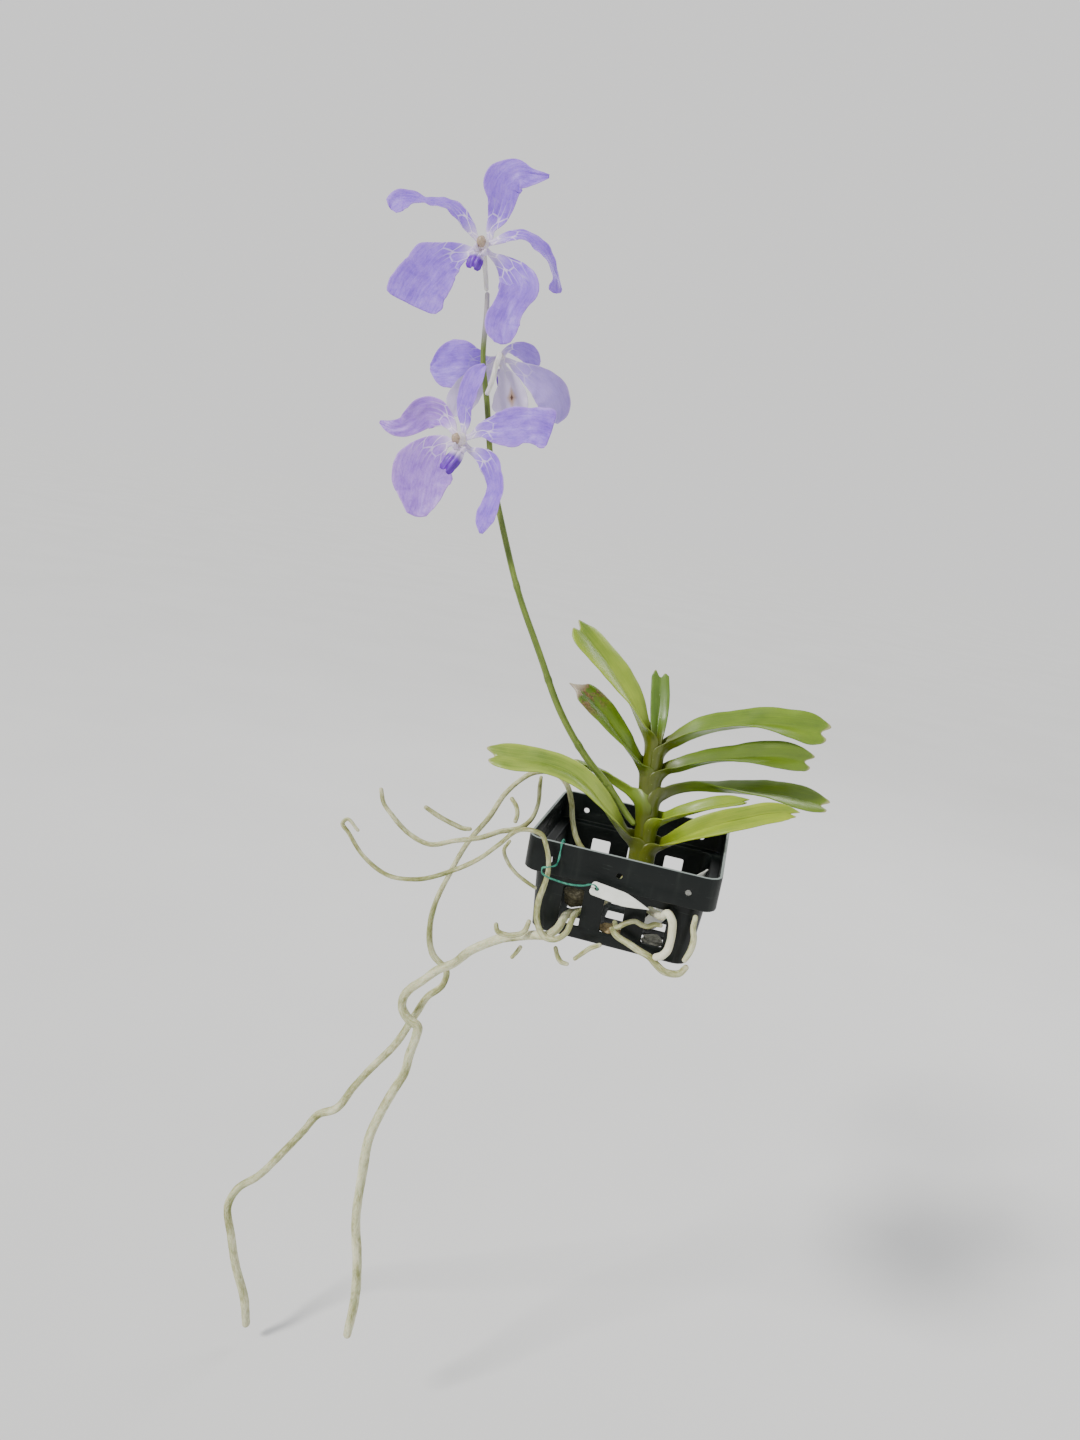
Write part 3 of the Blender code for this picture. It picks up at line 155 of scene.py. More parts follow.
# The flowers. A row of a tepal or lip is across, up and out from the flower's centre, then the half
# width. Where they differ, the half widths to the left and right of its run follow, and then the
# turn of the blade towards the face.
FLOWERS = {
    "flower_top": {
        "centre": (-81, 322, 20),
        "pedicel": [(-79.9, 304.6, 4.8, 1.2), (-80.4, 312, 8.5, 1.3), (-81, 320, 14, 1.5)],
        "column": [(0, 0, -3.4, 1.6), (0, 0, -1, 2.5), (-0.4, -0.4, 2, 2.6), (-0.8, -0.8, 4.6, 2)],
        "lip": [(-1.2, -4.6, 1, 2), (-3, -8, 3, 3.5), (-4.4, -11.5, 4, 4), (-5.6, -14.8, 3.5, 2.4)],
        "dorsal_sepal": [(3.2, 3.4, -3, 1.5), (3.7, 9.2, -3.5, 2.4, 2.6), (7.2, 15.6, -3, 5.2, 5.8),
            (9.9, 22.7, -1, 7.8, 7.4), (12, 31, 1, 12, 9.5), (18.1, 35.8, 3, 7.9, 9.8),
            (25.2, 35.1, 4, 2.8, 7.4), (31.6, 33.5, 5, 1.6, 3.7), (35, 33, 5, 0.9)],
        "petal_left": [(-3.4, 3.2, -0.5, 1.4), (-7.1, 8.5, 1, 3.4, 3.4, 15), (-11.7, 14.3, 2, 5.4, 5.4, 36),
            (-17.4, 19.2, 2, 6.5, 6.5, 44), (-24.5, 21.6, 1, 7, 7, 48), (-31.6, 23, 0, 7, 7, 44),
            (-38.6, 23.8, -1, 7.6, 7.6, 34), (-44.4, 22.8, -1, 7.6, 7.6, 22), (-47.8, 20.6, -1, 6, 6, 20)],
        "petal_right": [(5, 0.8, -0.5, 1.4), (11, 2.4, 1, 3, 3, -20), (17.4, 3.5, 2, 4.5, 4.5, -35),
            (23.8, 2.4, 3, 5.5, 5.5, -38), (28.9, -1.6, 3, 5.5, 5.5, -40), (33.9, -7.3, 2, 6, 6, -55),
            (37.2, -14.2, 0, 5, 5, -60), (38.6, -20, -2, 5, 5, -50), (38, -23.4, -3, 4, 4, -30)],
        "sepal_left": [(-4.8, -1.6, -3, 1.5), (-10.2, -2.8, -3.5, 4.6), (-17.2, -5.2, -3, 9, 7.8),
            (-23.2, -10.2, -1.5, 11, 15.4), (-27.5, -16.5, 0, 13.4, 14.8), (-32.6, -23.7, 2, 14.2, 15.8),
            (-36.9, -32.3, 3, 14.9)],
        "sepal_right": [(3.8, -4.2, -3, 1.5), (9.2, -7.6, -4, 4), (16.2, -15.6, -3.5, 9),
            (19, -22.2, -2, 10.9), (16.5, -27.8, -1, 9.1), (12.6, -36.3, 1, 8.6), (10.1, -43.5, 2, 9.3),
            (10.1, -49.2, 3, 7.6), (10.4, -53.3, 4, 4.6)],
    },
    "flower_middle": {
        "centre": (-73, 273.6, -10),
        "pedicel": [(-79.6, 248, 4.6, 1.2), (-77, 254, 5.5, 1.3), (-75, 263, 3.5, 1.4),
            (-73.2, 272, -4, 1.5)],
        "column": [(0, 0, -1, 1.6), (0, 0, -4, 2.5), (0.2, 0, -7, 2.6), (0.4, 0, -9, 2)],
        "lip": [(0.5, -4.8, -7, 2), (1, -8, -10, 3.4), (1.5, -11, -12.5, 3.6), (2, -13.6, -14, 2)],
        "dorsal_sepal": [(3.2, 3.3, -1, 1.6), (8.6, 4.6, -4, 4.6, 4.4), (14.6, 4.2, -9, 6.4, 6),
            (19.3, 3, -14, 5), (22, 2, -18, 1.5)],
        "petal_left": [(-4.8, -0.6, -3, 1.5), (-7.4, -1.6, -4, 3.6), (-12.8, -1.8, -5, 7.8),
            (-21.4, -1.8, -6, 13.2), (-30, -2.5, -8, 13.2, 12.6), (-36.8, -2.6, -10, 8.6, 7.8),
            (-40.6, -2.6, -11, 2)],
        "petal_right": [(4.6, -1.6, -3.5, 1.5), (8.8, -4.4, -4.5, 3.2), (16.3, -9, -5, 6.2, 6),
            (24, -14.6, -6, 9.4, 9), (30, -22.3, -7, 9.6, 10), (31.9, -29.4, -8, 6.6, 7.4),
            (30.6, -35, -9, 1.6)],
        "sepal_right": [(1.6, -5, -1, 1.6), (2.6, -9.4, -1, 4), (4.5, -15.4, -1, 7, 6.2),
            (5.2, -24, -1.5, 10, 9.6), (5.2, -30.8, -2, 9.2), (4.5, -35, -3, 4)],
        "sepal_left": [(-3.6, -4, -1, 1.5), (-8, -8.5, -1, 4), (-14, -14.5, -1, 7), (-20, -21, -2, 8.4),
            (-24.5, -27.5, -3, 7), (-27, -32, -4, 2)],
    },
    "flower_bottom": {
        "centre": (-92.6, 220, 15),
        "pedicel": [(-79.3, 208, 4.2, 1.2), (-83.5, 212, 6.6, 1.3), (-88, 215.6, 7.8, 1.4),
            (-91, 218.2, 8.6, 1.5)],
        "column": [(0, 0, -3.2, 1.6), (-0.3, 0, -1, 2.5), (-1.6, -0.4, 2, 2.6), (-3, -0.8, 4.4, 2)],
        "lip": [(-0.6, -5, 2, 2), (-2.5, -9, 4, 3.6), (-5.5, -13.4, 5, 4), (-9.2, -18, 4.5, 2.4)],
        "dorsal_sepal": [(0.8, 4.8, -2.5, 1.5), (1.6, 9, -2.5, 2.8, 2.8, -10), (1.2, 16.4, -2, 4.6, 5, -30),
            (3.3, 24.6, 0, 7.2, 7.4, -36), (5.9, 30.5, 2, 7, 7.2, -34), (9.2, 35.2, 3, 4.6, 5, -25),
            (12.7, 38.2, 4, 1)],
        "petal_left": [(-3.6, 3.4, -1.5, 1.5), (-5.8, 8, -2.5, 3, 3, -10), (-8.8, 12, -4.5, 4.8, 4.8, -15),
            (-13.9, 15.6, -6, 7.8, 7.8, -20), (-20.5, 16.6, -8, 8.4, 8.4, -20), (-27, 12.8, -10, 7, 7, -10),
            (-33.6, 9.9, -12, 5.2), (-40.1, 11.1, -14, 4, 3.6), (-46.3, 14.3, -16, 1)],
        "petal_right": [(5, 1.4, 1, 1.6), (11.1, 3.9, 4, 4.2), (18.8, 3.5, 7, 8), (27, 3.4, 10, 10.5),
            (35.2, 3.4, 13, 9.4), (41, 2.4, 15, 9.8), (46.9, 0.4, 16, 10)],
        "sepal_left": [(-5.2, -0.8, -3.5, 1.5), (-8.6, -0.6, -4.5, 3.7), (-12.6, -2, -5.5, 7.2, 6.6),
            (-17.2, -6.4, -7, 12), (-20.6, -13.2, -8, 16, 16.6), (-22.6, -20.6, -7.5, 15.6, 16.2),
            (-23, -27.4, -7, 12.8, 13.2), (-23.8, -33, -6, 9.6, 9.8), (-24.6, -38.4, -5, 6, 6.2)],
        "sepal_right": [(3.4, -4.6, -2.5, 1.5), (8, -7, -2, 3.2, 3.2, 10), (13.6, -11.4, 0, 5.6, 5.6, 15),
            (17, -18.8, 1, 6, 6, 40), (18.2, -27.8, 2, 7, 7, 45), (15, -36.8, 2, 7, 7, 42),
            (11.8, -44.2, 1, 6, 6, 35), (10.2, -50.4, 0, 1, 1, 20)],
    },
}

# The roots
ROOT_START = 1.6  # radius of a root where it leaves the stem
ROOT_PLACE = 2.9  # middle of a root that lies by the side of a slot

TEPAL_CUP = 0.10  # how far a tepal is dished, as a share of its half width

# The labels: across, out from the collar, up; the stake's foot is above the floor and its point
# above the rim
TAG_END = (-12, 8, -6)
TAG_POINT = (18, 7, -10.5)
TAG_WIDTH = 7.6
TAG_FACE = (0, -0.64, 0.77)
TAG_HOLE = 2.4
HOLE_PLACE = 3.0  # from the end of the tag to its hole
STAKE_FOOT = (17, -37, 3)
STAKE_POINT = (42, -28, -5)
STAKE_WIDTH = 9.0
STAKE_FACE = (0.5, -0.8, 0.2)
POINT_SHARE = 1.8  # length of a label's point, as a share of its width
WIRE_PLACE = -31.0  # where the wire comes over the rim
WIRE_LOOP = 9.6  # from the collar out to the wire's loop

# The bark: middle as shares of the half width across and back, and height; size; turn of its lumps
BARK = {
    "bark_left": ((-0.44, -0.62, -23), (12, 11, 13), 0.4),
    "bark_front": ((-0.02, -0.68, -35.4), (11, 9, 6), 2.1),
    "bark_right": ((0.44, -0.66, -36), (11, 9, 5.6), 3.7),
    "bark_back": ((0.28, 0.48, -34.6), (26, 17, 8), 5.2),
}


def unit(vectors):
    return vectors / np.linalg.norm(vectors, axis=-1, keepdims=True)


def run_of(rows):
    """How far along their line the rows lie."""
    return np.concatenate([[0], np.cumsum(np.linalg.norm(np.diff(rows[:, :3], axis=0), axis=1))])


def headings(rows):
    return unit(np.gradient(rows[:, :3], axis=0))


def smooth(rows, count):
    """Rows that start with a place, drawn out as one smooth curve of evenly spaced rows."""
    rows = np.array(rows, float)
    run = run_of(rows)
    slopes = np.gradient(rows, run, axis=0)
    where = np.linspace(0, run[-1], count)
    i = np.clip(np.searchsorted(run, where, side="right") - 1, 0, len(run) - 2)
    span = (run[i + 1] - run[i])[:, None]
    t = (where - run[i])[:, None] / span
    return (
        (2 * t**3 - 3 * t**2 + 1) * rows[i]
        + (t**3 - 2 * t**2 + t) * span * slopes[i]
        + (3 * t**2 - 2 * t**3) * rows[i + 1]
        + (t**3 - t**2) * span * slopes[i + 1]
    )


def carried(tangents, start):
    """A direction square to the curve at each point, carried along it without twisting."""
    found = []
    for tangent in tangents:
        start = start - tangent * (start @ tangent)
        start = start / np.linalg.norm(start)
        found.append(start)
    return np.array(found)


def wave(value, seed):
    """A smooth wander between about -1 and 1, the same for the same seed."""
    return (math.sin(value + seed) + 0.6 * math.sin(1.93 * value + 2.3 * seed)
            + 0.4 * math.sin(3.71 * value - 1.7 * seed)) / 2


def peak(value, middle, width):
    """A smooth peak of height 1."""
    return np.exp(-(((value - middle) / width) ** 2))


def rounded(half_x, half_y, radius):
    """The outline of a rectangle with round corners."""
    points = []
    for quarter, (x, y) in enumerate(((1, 1), (-1, 1), (-1, -1), (1, -1))):
        for step in range(CORNER_STEPS + 1):
            angle = math.radians(90 * (quarter + step / CORNER_STEPS))
            points.append((x * (half_x - radius) + radius * math.cos(angle),
                           y * (half_y - radius) + radius * math.sin(angle)))
    return points


def circle(radius, sides):
    angles = [2 * math.pi * side / sides for side in range(sides)]
    return [(radius * math.cos(angle), radius * math.sin(angle)) for angle in angles]


def plant_matrix():
    """The plant's frame: it is turned, tipped back and leaned to the left in its basket."""
    turn, tilt, lean = map(math.radians, (TURN, TILT, LEAN))
    forward = np.array([math.sin(turn), -math.cos(turn), 0.0])
    face = forward * math.cos(tilt) + np.array([0.0, 0.0, math.sin(tilt)])
    level = np.array([math.cos(turn), math.sin(turn), 0.0])
    upright = np.cross(face, level)
    across = level * math.cos(lean) + upright * math.sin(lean)
    up = upright * math.cos(lean) - level * math.sin(lean)
    return Matrix(np.stack([across, up, face], axis=1).tolist()).to_4x4()


PLANT_TURN = np.array(plant_matrix())[:3, :3]


def stem_at(height):
    """The stem's middle and radius at a height along the plant."""
    rows = np.array(STEM)
    return [np.interp(height, rows[:, 1], rows[:, i]) for i in (0, 2, 3)]


def start(bearing, depth):
    """Where a root leaves the foot of the stem, in the basket's frame; bearing 0 is to the right."""
    x, z, radius = stem_at(-depth)
    place = PLANT_TURN @ np.array([x, -depth, z])
    away = np.array([math.cos(math.radians(bearing)), math.sin(math.radians(bearing)), 0.0])
    # The stem leans, so a level cut of it is wider than the stem.
    wide = 1 / math.cos(math.radians(LEAN + TILT))
    return [(*(place + away * (radius * wide + 2 * CLEARANCE + ROOT_START)), ROOT_START)]


def left_of(level, route):
    """Places by the left of the basket: out from the collar, back from the middle, above level."""
    return [(-HALF - out, back, level + up, radius) for out, back, up, radius in route]


def front_of(level, route):
    """Places by the front of the basket: across from the middle, out from the collar, above level."""
    return [(across, -HALF - out, level + up, radius) for across, out, up, radius in route]


def root_routes():
    """Each root's route as across, back, up and radius."""
    sill = SLOT_BOTTOM
    head = SLOT_TOP
    rim = RIM_HEIGHT
    slot = SLOT_PITCH
    # Two roots share the left window of the front, each by one side of it.
    low_side = -slot - SLOT_WIDTH / 2 + ROOT_PLACE
    high_side = -slot + SLOT_WIDTH / 2 - ROOT_PLACE
    right_side = slot + SLOT_WIDTH / 2 - ROOT_PLACE
    return {
        "root_arch_long": start(176, 10) + left_of(rim, [(-34, 1, -23, 1.6), (-20, 3, -16, 1.5),
            (-14, 5, -5, 1.5), (-11, 6, 6, 1.5), (-7, 7, 14, 1.5), (-2, 8, 18, 1.5), (6, 8, 19, 1.5),
            (13, 7, 17, 1.5), (20, 5, 11, 1.4), (26, 4, 3, 1.4), (33, 2, -13, 1.5), (43, 1, -31, 1.5),
            (50, 0, -51, 1.5), (56, 0, -73, 1.6), (57, 1, -85, 1.7), (53, 3, -104, 1.8),
            (43, 3, -113, 1.9), (44, 3, -121, 2), (52, 2, -131, 2.1), (57, 2, -143, 2.2),
            (67, 4, -167, 2.3), (83, 6, -193, 2.3), (91, 7, -207, 2.3), (101, 8, -226, 2.4),
            (112, 9, -234, 2.4), (120, 9, -248, 2.4), (134, 10, -271, 2.4), (149, 12, -294, 2.4),
            (162, 12, -308, 2.5), (167, 12, -321, 2.6), (162, 12, -345, 2.7), (157, 13, -366, 2.7),
            (148, 14, -391, 2.8), (145, 15, -410, 2.7)]),
        "root_thick": start(218, 20) + [(-13, -24, -30.5, 2)]
            + front_of(sill, [(low_side + 0.4, -12, 3, 2.1), (low_side, -5, 2.8, 2.1),
            (low_side - 1.4, 0.5, -0.5, 2.2), (-30, 1.5, -4.5, 2.3), (-37, 0, -7, 2.4)])
            + left_of(FLOOR, [(-3, -44, -6, 2.4), (6, -38, -12, 2.4), (15, -32, -20, 2.4),
            (25, -26, -30, 2.5), (34, -21, -42, 2.5), (43, -17, -50, 2.5), (52, -14, -61, 2.5),
            (59, -12, -69, 2.6), (63, -10, -77, 2.6), (63, -9, -84, 2.6), (58, -9, -90, 2.6),
            (52, -9, -93, 2.7), (52, -9, -99, 2.7), (54, -10, -112, 2.7), (55, -10, -123, 2.7),
            (60, -12, -137, 2.7), (65, -13, -152, 2.8), (69, -15, -168, 2.8), (69, -18, -192, 2.8),
            (68, -20, -222, 2.8), (63, -20, -252, 2.8), (61, -20, -278, 2.9), (62, -21, -302, 2.7)]),
        "root_branch_high": left_of(rim, [(8, 4.4, 16, 1), (7.4, 2, 12, 1.2), (5.5, -4, 3, 1.2),
            (7, -8, -5, 1.3), (11, -11, -10, 1.5), (22, -15, -14, 1.4), (31, -17, -19, 1.4),
            (45, -18, -24, 1.4), (59, -20, -29, 1.4), (71, -20, -26, 1.4), (82, -22, -17, 1.3),
            (88, -22, -11, 1.2), (90.5, -22, -4, 1.2)]),
        "root_hook": start(238, 12) + [(-6, -20, -21.5, 1.6), (-13.6, -31, -27.6, 1.6)]
            + front_of(sill, [(high_side, -8, 6, 1.6), (high_side, 0.5, 5.4, 1.6),
            (high_side - 1, 6, 1, 1.6), (-25, 7.5, -3.2, 1.6), (-30, 7.5, -3.4, 1.6), (-34, 7, 0, 1.6),
            (-36.5, 6.5, 6, 1.6)]) + front_of(rim, [(-37, 6, -30, 1.6), (-35.5, 6, -21, 1.4),
            (-35, 6, -14, 1.3), (-36, 6.5, -7, 1.2), (-38.5, 6.5, -0.5, 1.2)])
            + [(-HALF + 9, -HALF - 7, rim + 4, 1.2), (-HALF + 4, -HALF - 7.4, rim + 5.4, 1.2),
            (-HALF - 2, -HALF - 7.6, rim + 4.4, 1.2), (-HALF - 12, -HALF - 8, rim - 6, 1.2),
            (-HALF - 20, -HALF - 8, rim - 15, 1.2), (-HALF - 34, -HALF - 7, rim - 26, 1.2),
            (-HALF - 53, -HALF - 6, rim - 36, 1.2), (-HALF - 68, -HALF - 5, rim - 38, 1.2),
            (-HALF - 84, -HALF - 4, rim - 31, 1.1), (-HALF - 94, -HALF - 3, rim - 21, 1.1),
            (-HALF - 98, -HALF - 3, rim - 16.5, 1.1), (-HALF - 96, -HALF - 3, rim - 14, 1),
            (-HALF - 89, -HALF - 3, rim - 18.5, 0.9)],
        "root_branch_low": left_of(rim, [(42.6, 0, -21.8, 1.3), (46, 0, -22.4, 1.4), (52, -1, -21, 1.4),
            (60, -3, -18, 1.4), (69, -4, -14, 1.2)]),
        "root_stub_rim": left_of(rim, [(21.6, 1, 1, 1.2), (18, -1, -2, 1.3), (16, -4, -6, 1.3),
            (16, -6, -9, 1.2)]),
        "root_twig_left": front_of(rim, [(-58, 2, -5, 0.9), (-60, 2, -10, 1), (-57, 2, -16, 1),
            (-52, 1.4, -21, 1), (-46, 0.4, -24.6, 1), (-41, -0.5, -27, 0.9)]),
        "root_curl_front": front_of(FLOOR, [(-57, 4, 2, 1.2), (-56, 4, -1, 1.4), (-51, 4, -2, 1.4),
            (-46, 3.6, -1, 1.4), (-42, 3.4, 2, 1.4), (-40.6, 2.6, 7.5, 1.2)]),
        "root_tip_left": front_of(FLOOR, [(-47.5, -6, -18, 1.1), (-45.5, -5.5, -14.4, 1.2),
            (-44, -5, -11, 1.2)]),
        "root_tip_under": front_of(FLOOR, [(-25, -1, -4.6, 1.2), (-23, -0.5, -8.6, 1.3),
            (-20.6, 0, -10.8, 1.3), (-17.6, 0, -11, 1.1)]),
        "root_twig_middle": front_of(FLOOR, [(-14, 0, -7, 1.1), (-11, 0, -3.4, 1.2), (-7, 0, 1, 1.3),
            (-3, -0.5, 3.4, 1.1)]),
        "root_twig_right": front_of(sill, [(1.5, -11, 6, 1.2), (4, -3.4, 7, 1.3), (8, -2, 11, 1.3),
            (12, -2, 13, 1.3), (16, -2, 12, 1.3), (19, -2, 12, 1.3), (22, -2, 14, 1.3),
            (25, -2.4, 14, 1.1)]),
        "root_under_right": front_of(sill, [(1, -10, 2.6, 1.5), (4.6, -3, 2.4, 1.7), (12, -2.4, 0, 1.8),
            (17, -2.4, -2, 1.8), (23, -2.4, -4, 1.8), (27, -2.4, -7, 1.8), (31, -2.4, -9.4, 1.8),
            (35, -3, -10, 1.8), (39, -3.4, -9, 1.7), (41.6, -3.4, -5, 1.5)]),
        "root_white": start(300, 14) + front_of(head, [(15, -24, -7, 1.9), (slot, -11, -5, 2),
            (right_side, -6, -3.6, 2), (27.6, -1.4, 0.6, 2.1), (30, -0.5, -2, 2.1), (31.2, -0.5, -8, 2.1),
            (31.4, -0.5, -14, 2.1), (30.6, -0.5, -19, 2.1), (28.4, -0.5, -22, 2), (26, -1, -23.4, 1.8)]),
        "root_corner": front_of(head, [(41, -2.4, 1.6, 1.4), (41, -2, -4, 1.5), (42.4, -2, -9, 1.6),
            (42.4, -2, -14, 1.6), (41.4, -2, -18.4, 1.5), (40.2, -2, -21.6, 1.3)]),
    }


# ---- materials -------------------------------------------------------------------------------


def srgb(red, green, blue):
    """A linear colour from the usual 0 to 255 values."""
    found = []
    for value in (red, green, blue):
        value = value / 255
        found.append(value / 12.92 if value <= 0.04045 else ((value + 0.055) / 1.055) ** 2.4)
    return (*found, 1.0)


def grey(value):
    return (value, value, value, 1.0)


class Finish:
    """One procedural material, with short ways to add its nodes. colour is its base colour so far."""

    def __init__(self, name, roughness, laid_flat=True):
        self.material = bpy.data.materials.new(name)
        self.material.use_nodes = True
        self.tree = self.material.node_tree
        self.shader = self.tree.nodes["Principled BSDF"]
        self.shader.inputs["Roughness"].default_value = roughness
        self.place = self.flat = self.share = None
        if laid_flat:
            self.flat = self.node("Attribute", {}, "Vector", attribute_name="flat")
            self.share = self.parts(self.node("Attribute", {}, "Vector", attribute_name="share"))
        else:
            self.place = self.node("TexCoord", {}, "Object")

    def put(self, socket, value):
        if isinstance(value, bpy.types.NodeSocket):
            self.tree.links.new(value, socket)
        else:
            socket.default_value = value

    def node(self, kind, inputs, output=0, **settings):
        made = self.tree.nodes.new("ShaderNode" + kind)
        for key, value in settings.items():
            setattr(made, key, value)
        for key, value in inputs.items():
            self.put(made.inputs[key], value)
        return made.outputs[output]

    def parts(self, vector):
        return list(self.node("SeparateXYZ", {0: vector}).node.outputs)

    def scaled(self, vector, scale):
        return self.node("VectorMath", {0: vector, 1: scale}, operation="MULTIPLY")

    def math(self, operation, first, second=0.0):
        return self.node("Math", {0: first, 1: second}, operation=operation)

    def total(self, *shares):
        """The sum of some values, each times its number."""
        values = [self.math("MULTIPLY", value, times) for value, times in shares]
        found = values[0]
        for value in values[1:]:
            found = self.math("ADD", found, value)
        return found

    def noise(self, vector, scale, detail, roughness=0.55, distortion=0.0):
        return self.node("TexNoise", {"Vector": vector, "Scale": scale, "Detail": detail,
                                      "Roughness": roughness, "Distortion": distortion}, "Fac")

    def grain(self, scale, *rest):
        """Noise over the piece laid flat, with its own scale each way."""
        return self.noise(self.scaled(self.flat, scale), 1.0, *rest)

    def cells(self, scale):
        return self.node("TexVoronoi", {"Vector": self.scaled(self.flat, scale), "Scale": 1.0},
                         "Distance", feature="DISTANCE_TO_EDGE")

    def band(self, value, low, high, start=0.0, end=1.0):
        """start below low, end above high, and smooth between."""
        return self.node("MapRange", {"Value": value, "From Min": low, "From Max": high, "To Min": start,
                                      "To Max": end}, "Result", interpolation_type="SMOOTHSTEP")

    def ramp(self, value, *stops):
        colour = self.node("ValToRGB", {0: value}, "Color")
        elements = colour.node.color_ramp.elements
        while len(elements) < len(stops):
            elements.new(0.5)
        for element, (position, chosen) in zip(elements, stops):
            element.position = position
            element.color = chosen
        return colour

    def cover(self, factor, colour):
        """Lays a colour over the base colour so far."""
        self.colour = self.node("Mix", {0: factor, 6: self.colour, 7: colour}, 2, data_type="RGBA")

    def tint(self, value, low, high, start, end, colour):
        self.cover(self.band(value, low, high, start, end), colour)

    def bumps(self, *layers):
        """Bumps one over the other, each with its height, strength and depth in millimetres."""
        normal = {}
        for height, strength, depth in layers:
            inputs = {"Height": height, "Strength": strength, "Distance": depth * MM}
            normal = {"Normal": self.node("Bump", inputs | normal)}
        return normal["Normal"]

    def set(self, **values):
        for key, value in {"Base Color": self.colour, **values}.items():
            self.put(self.shader.inputs[key.replace("_", " ")], value)
        return self


def leaf_finish(name, dark, light, tip_damage, pale_edge):
    made = Finish(name, 0.4)
    across, along, top = made.share
    blotch = made.grain((0.07, 0.03, 0.2), 3.0)
    veins = made.grain((1.9, 0.02, 0.3), 3.0, 0.6)
    cells = made.grain((3.0, 1.1, 1.0), 2.0)
    tone = made.total((blotch, 0.62), (veins, 0.3), (cells, 0.08))
    made.colour = made.ramp(tone, (0.34, dark), (0.66, light))
    # Each half is paler towards its edge, and the keel between them is a fine pale line.
    reach = made.math("ABSOLUTE", across)
    made.tint(reach, 0.72, 1.0, 0.0, 0.32 + pale_edge, light)
    made.tint(reach, 0.0, 0.05, 0.35, 0.0, light)
    made.tint(top, 0.35, 0.65, 0.25, 0.0, srgb(142, 166, 56))
    # The foot of the leaf yellows where it clasps the stem.
    made.tint(along, 0.18, 0.38, 0.9, 0.0, srgb(80, 86, 8))
    specks = made.grain((0.9, 0.9, 1.0), 2.0, 0.5)
    made.tint(specks, 0.70, 0.76, 0.0, 0.25, srgb(190, 204, 130))
    made.tint(made.grain((0.35, 0.12, 1.0), 5.0, 0.7), 0.67, 0.73, 0.0, 0.3, srgb(104, 98, 40))
    made.tint(made.total((along, 1.0), (blotch, 0.05)), 1.0, 1.03, 0.0, 0.75, srgb(196, 186, 140))
    if tip_damage:
        worn = made.band(made.grain((0.22, 0.16, 0.4), 5.0, 0.65, 0.4), 0.47, 0.52)
        spots = made.math("MULTIPLY", worn, made.band(along, 0.66, 0.84))
        brown = made.ramp(specks, (0.3, srgb(62, 44, 22)), (0.7, srgb(140, 110, 66)))
        made.cover(made.math("MULTIPLY", spots, tip_damage), brown)
        white = made.math("MULTIPLY", made.band(along, 0.88, 0.96), tip_damage)
        made.cover(white, srgb(176, 164, 144))
    shine = made.ramp(made.grain((0.3, 0.08, 1.0), 4.0), (0.3, grey(0.30)), (0.75, grey(0.52)))
    return made.set(Roughness=shine, Normal=made.bumps((veins, 0.35, 0.35), (cells, 0.2, 0.12)),
                    Coat_Weight=0.12, Coat_Roughness=0.25, Subsurface_Weight=0.12,
                    Subsurface_Radius=(0.5, 1.0, 0.2), Subsurface_Scale=0.0012)


def tepal_finish(name, colours, pale, brown):
    made = Finish(name, 0.5)
    dark, body, light = colours
    across, along = made.share[:2]
    wander = made.grain((0.12, 0.12, 0.3), 3.0)
    runs = made.grain((0.9, 0.08, 0.3), 4.0, 0.6, 0.4)
    tone = made.total((wander, 0.6), (runs, 0.4))
    made.colour = made.ramp(tone, (0.30, dark), (0.44, body), (0.78, light))
    # A net of fine veins, its meshes drawn out along the tepal.
    net = made.band(made.cells((0.62, 0.30, 0.0)), 0.015, 0.10, 1.0, 0.0)
    coarse = made.band(made.cells((0.26, 0.10, 0.0)), 0.01, 0.06, 1.0, 0.0)
    lines = made.total((net, 0.2), (coarse, 0.16))
    made.cover(lines, dark)
    made.tint(made.math("ABSOLUTE", across), 0.84, 1.0, 0.0, 0.3, light)
    made.tint(along, 0.04, 0.26, 0.85, 0.0, srgb(228, 218, 238))
    streaks = made.math("MULTIPLY", coarse, made.band(along, 0.15, 0.5, 0.8, 0.0))
    made.cover(streaks, srgb(244, 238, 248))
    made.tint(made.grain((0.05, 0.09, 0.2), 2.0), 0.54, 0.70, 0.0, 0.22, light)
    if pale:
        made.cover(pale, srgb(222, 216, 226))
    if brown:
        aside = made.math("ABSOLUTE", made.math("ADD", across, 0.12))
        beyond = made.math("ABSOLUTE", made.math("SUBTRACT", along, 0.62))
        spot = made.total((aside, 1.0), (beyond, 1.6), (wander, 0.2))
        made.tint(spot, 0.2, 0.5, 0.85, 0.0, srgb(168, 136, 96))
        made.tint(spot, 0.15, 0.22, 0.95, 0.0, srgb(70, 34, 14))
    crinkle = made.grain((0.45, 0.2, 1.0), 4.0, 0.6)
    sparkle = made.grain((6.0, 6.0, 1.0), 2.0)
    return made.set(Roughness=made.ramp(crinkle, (0.3, grey(0.42)), (0.7, grey(0.6))),
                    Normal=made.bumps((crinkle, 0.4, 0.5), (lines, 0.35, 0.15), (sparkle, 0.15, 0.06)),
                    Sheen_Weight=0.06, Sheen_Roughness=0.4, Subsurface_Weight=0.35,
                    Subsurface_Radius=(0.8, 0.7, 1.0), Subsurface_Scale=0.0016)


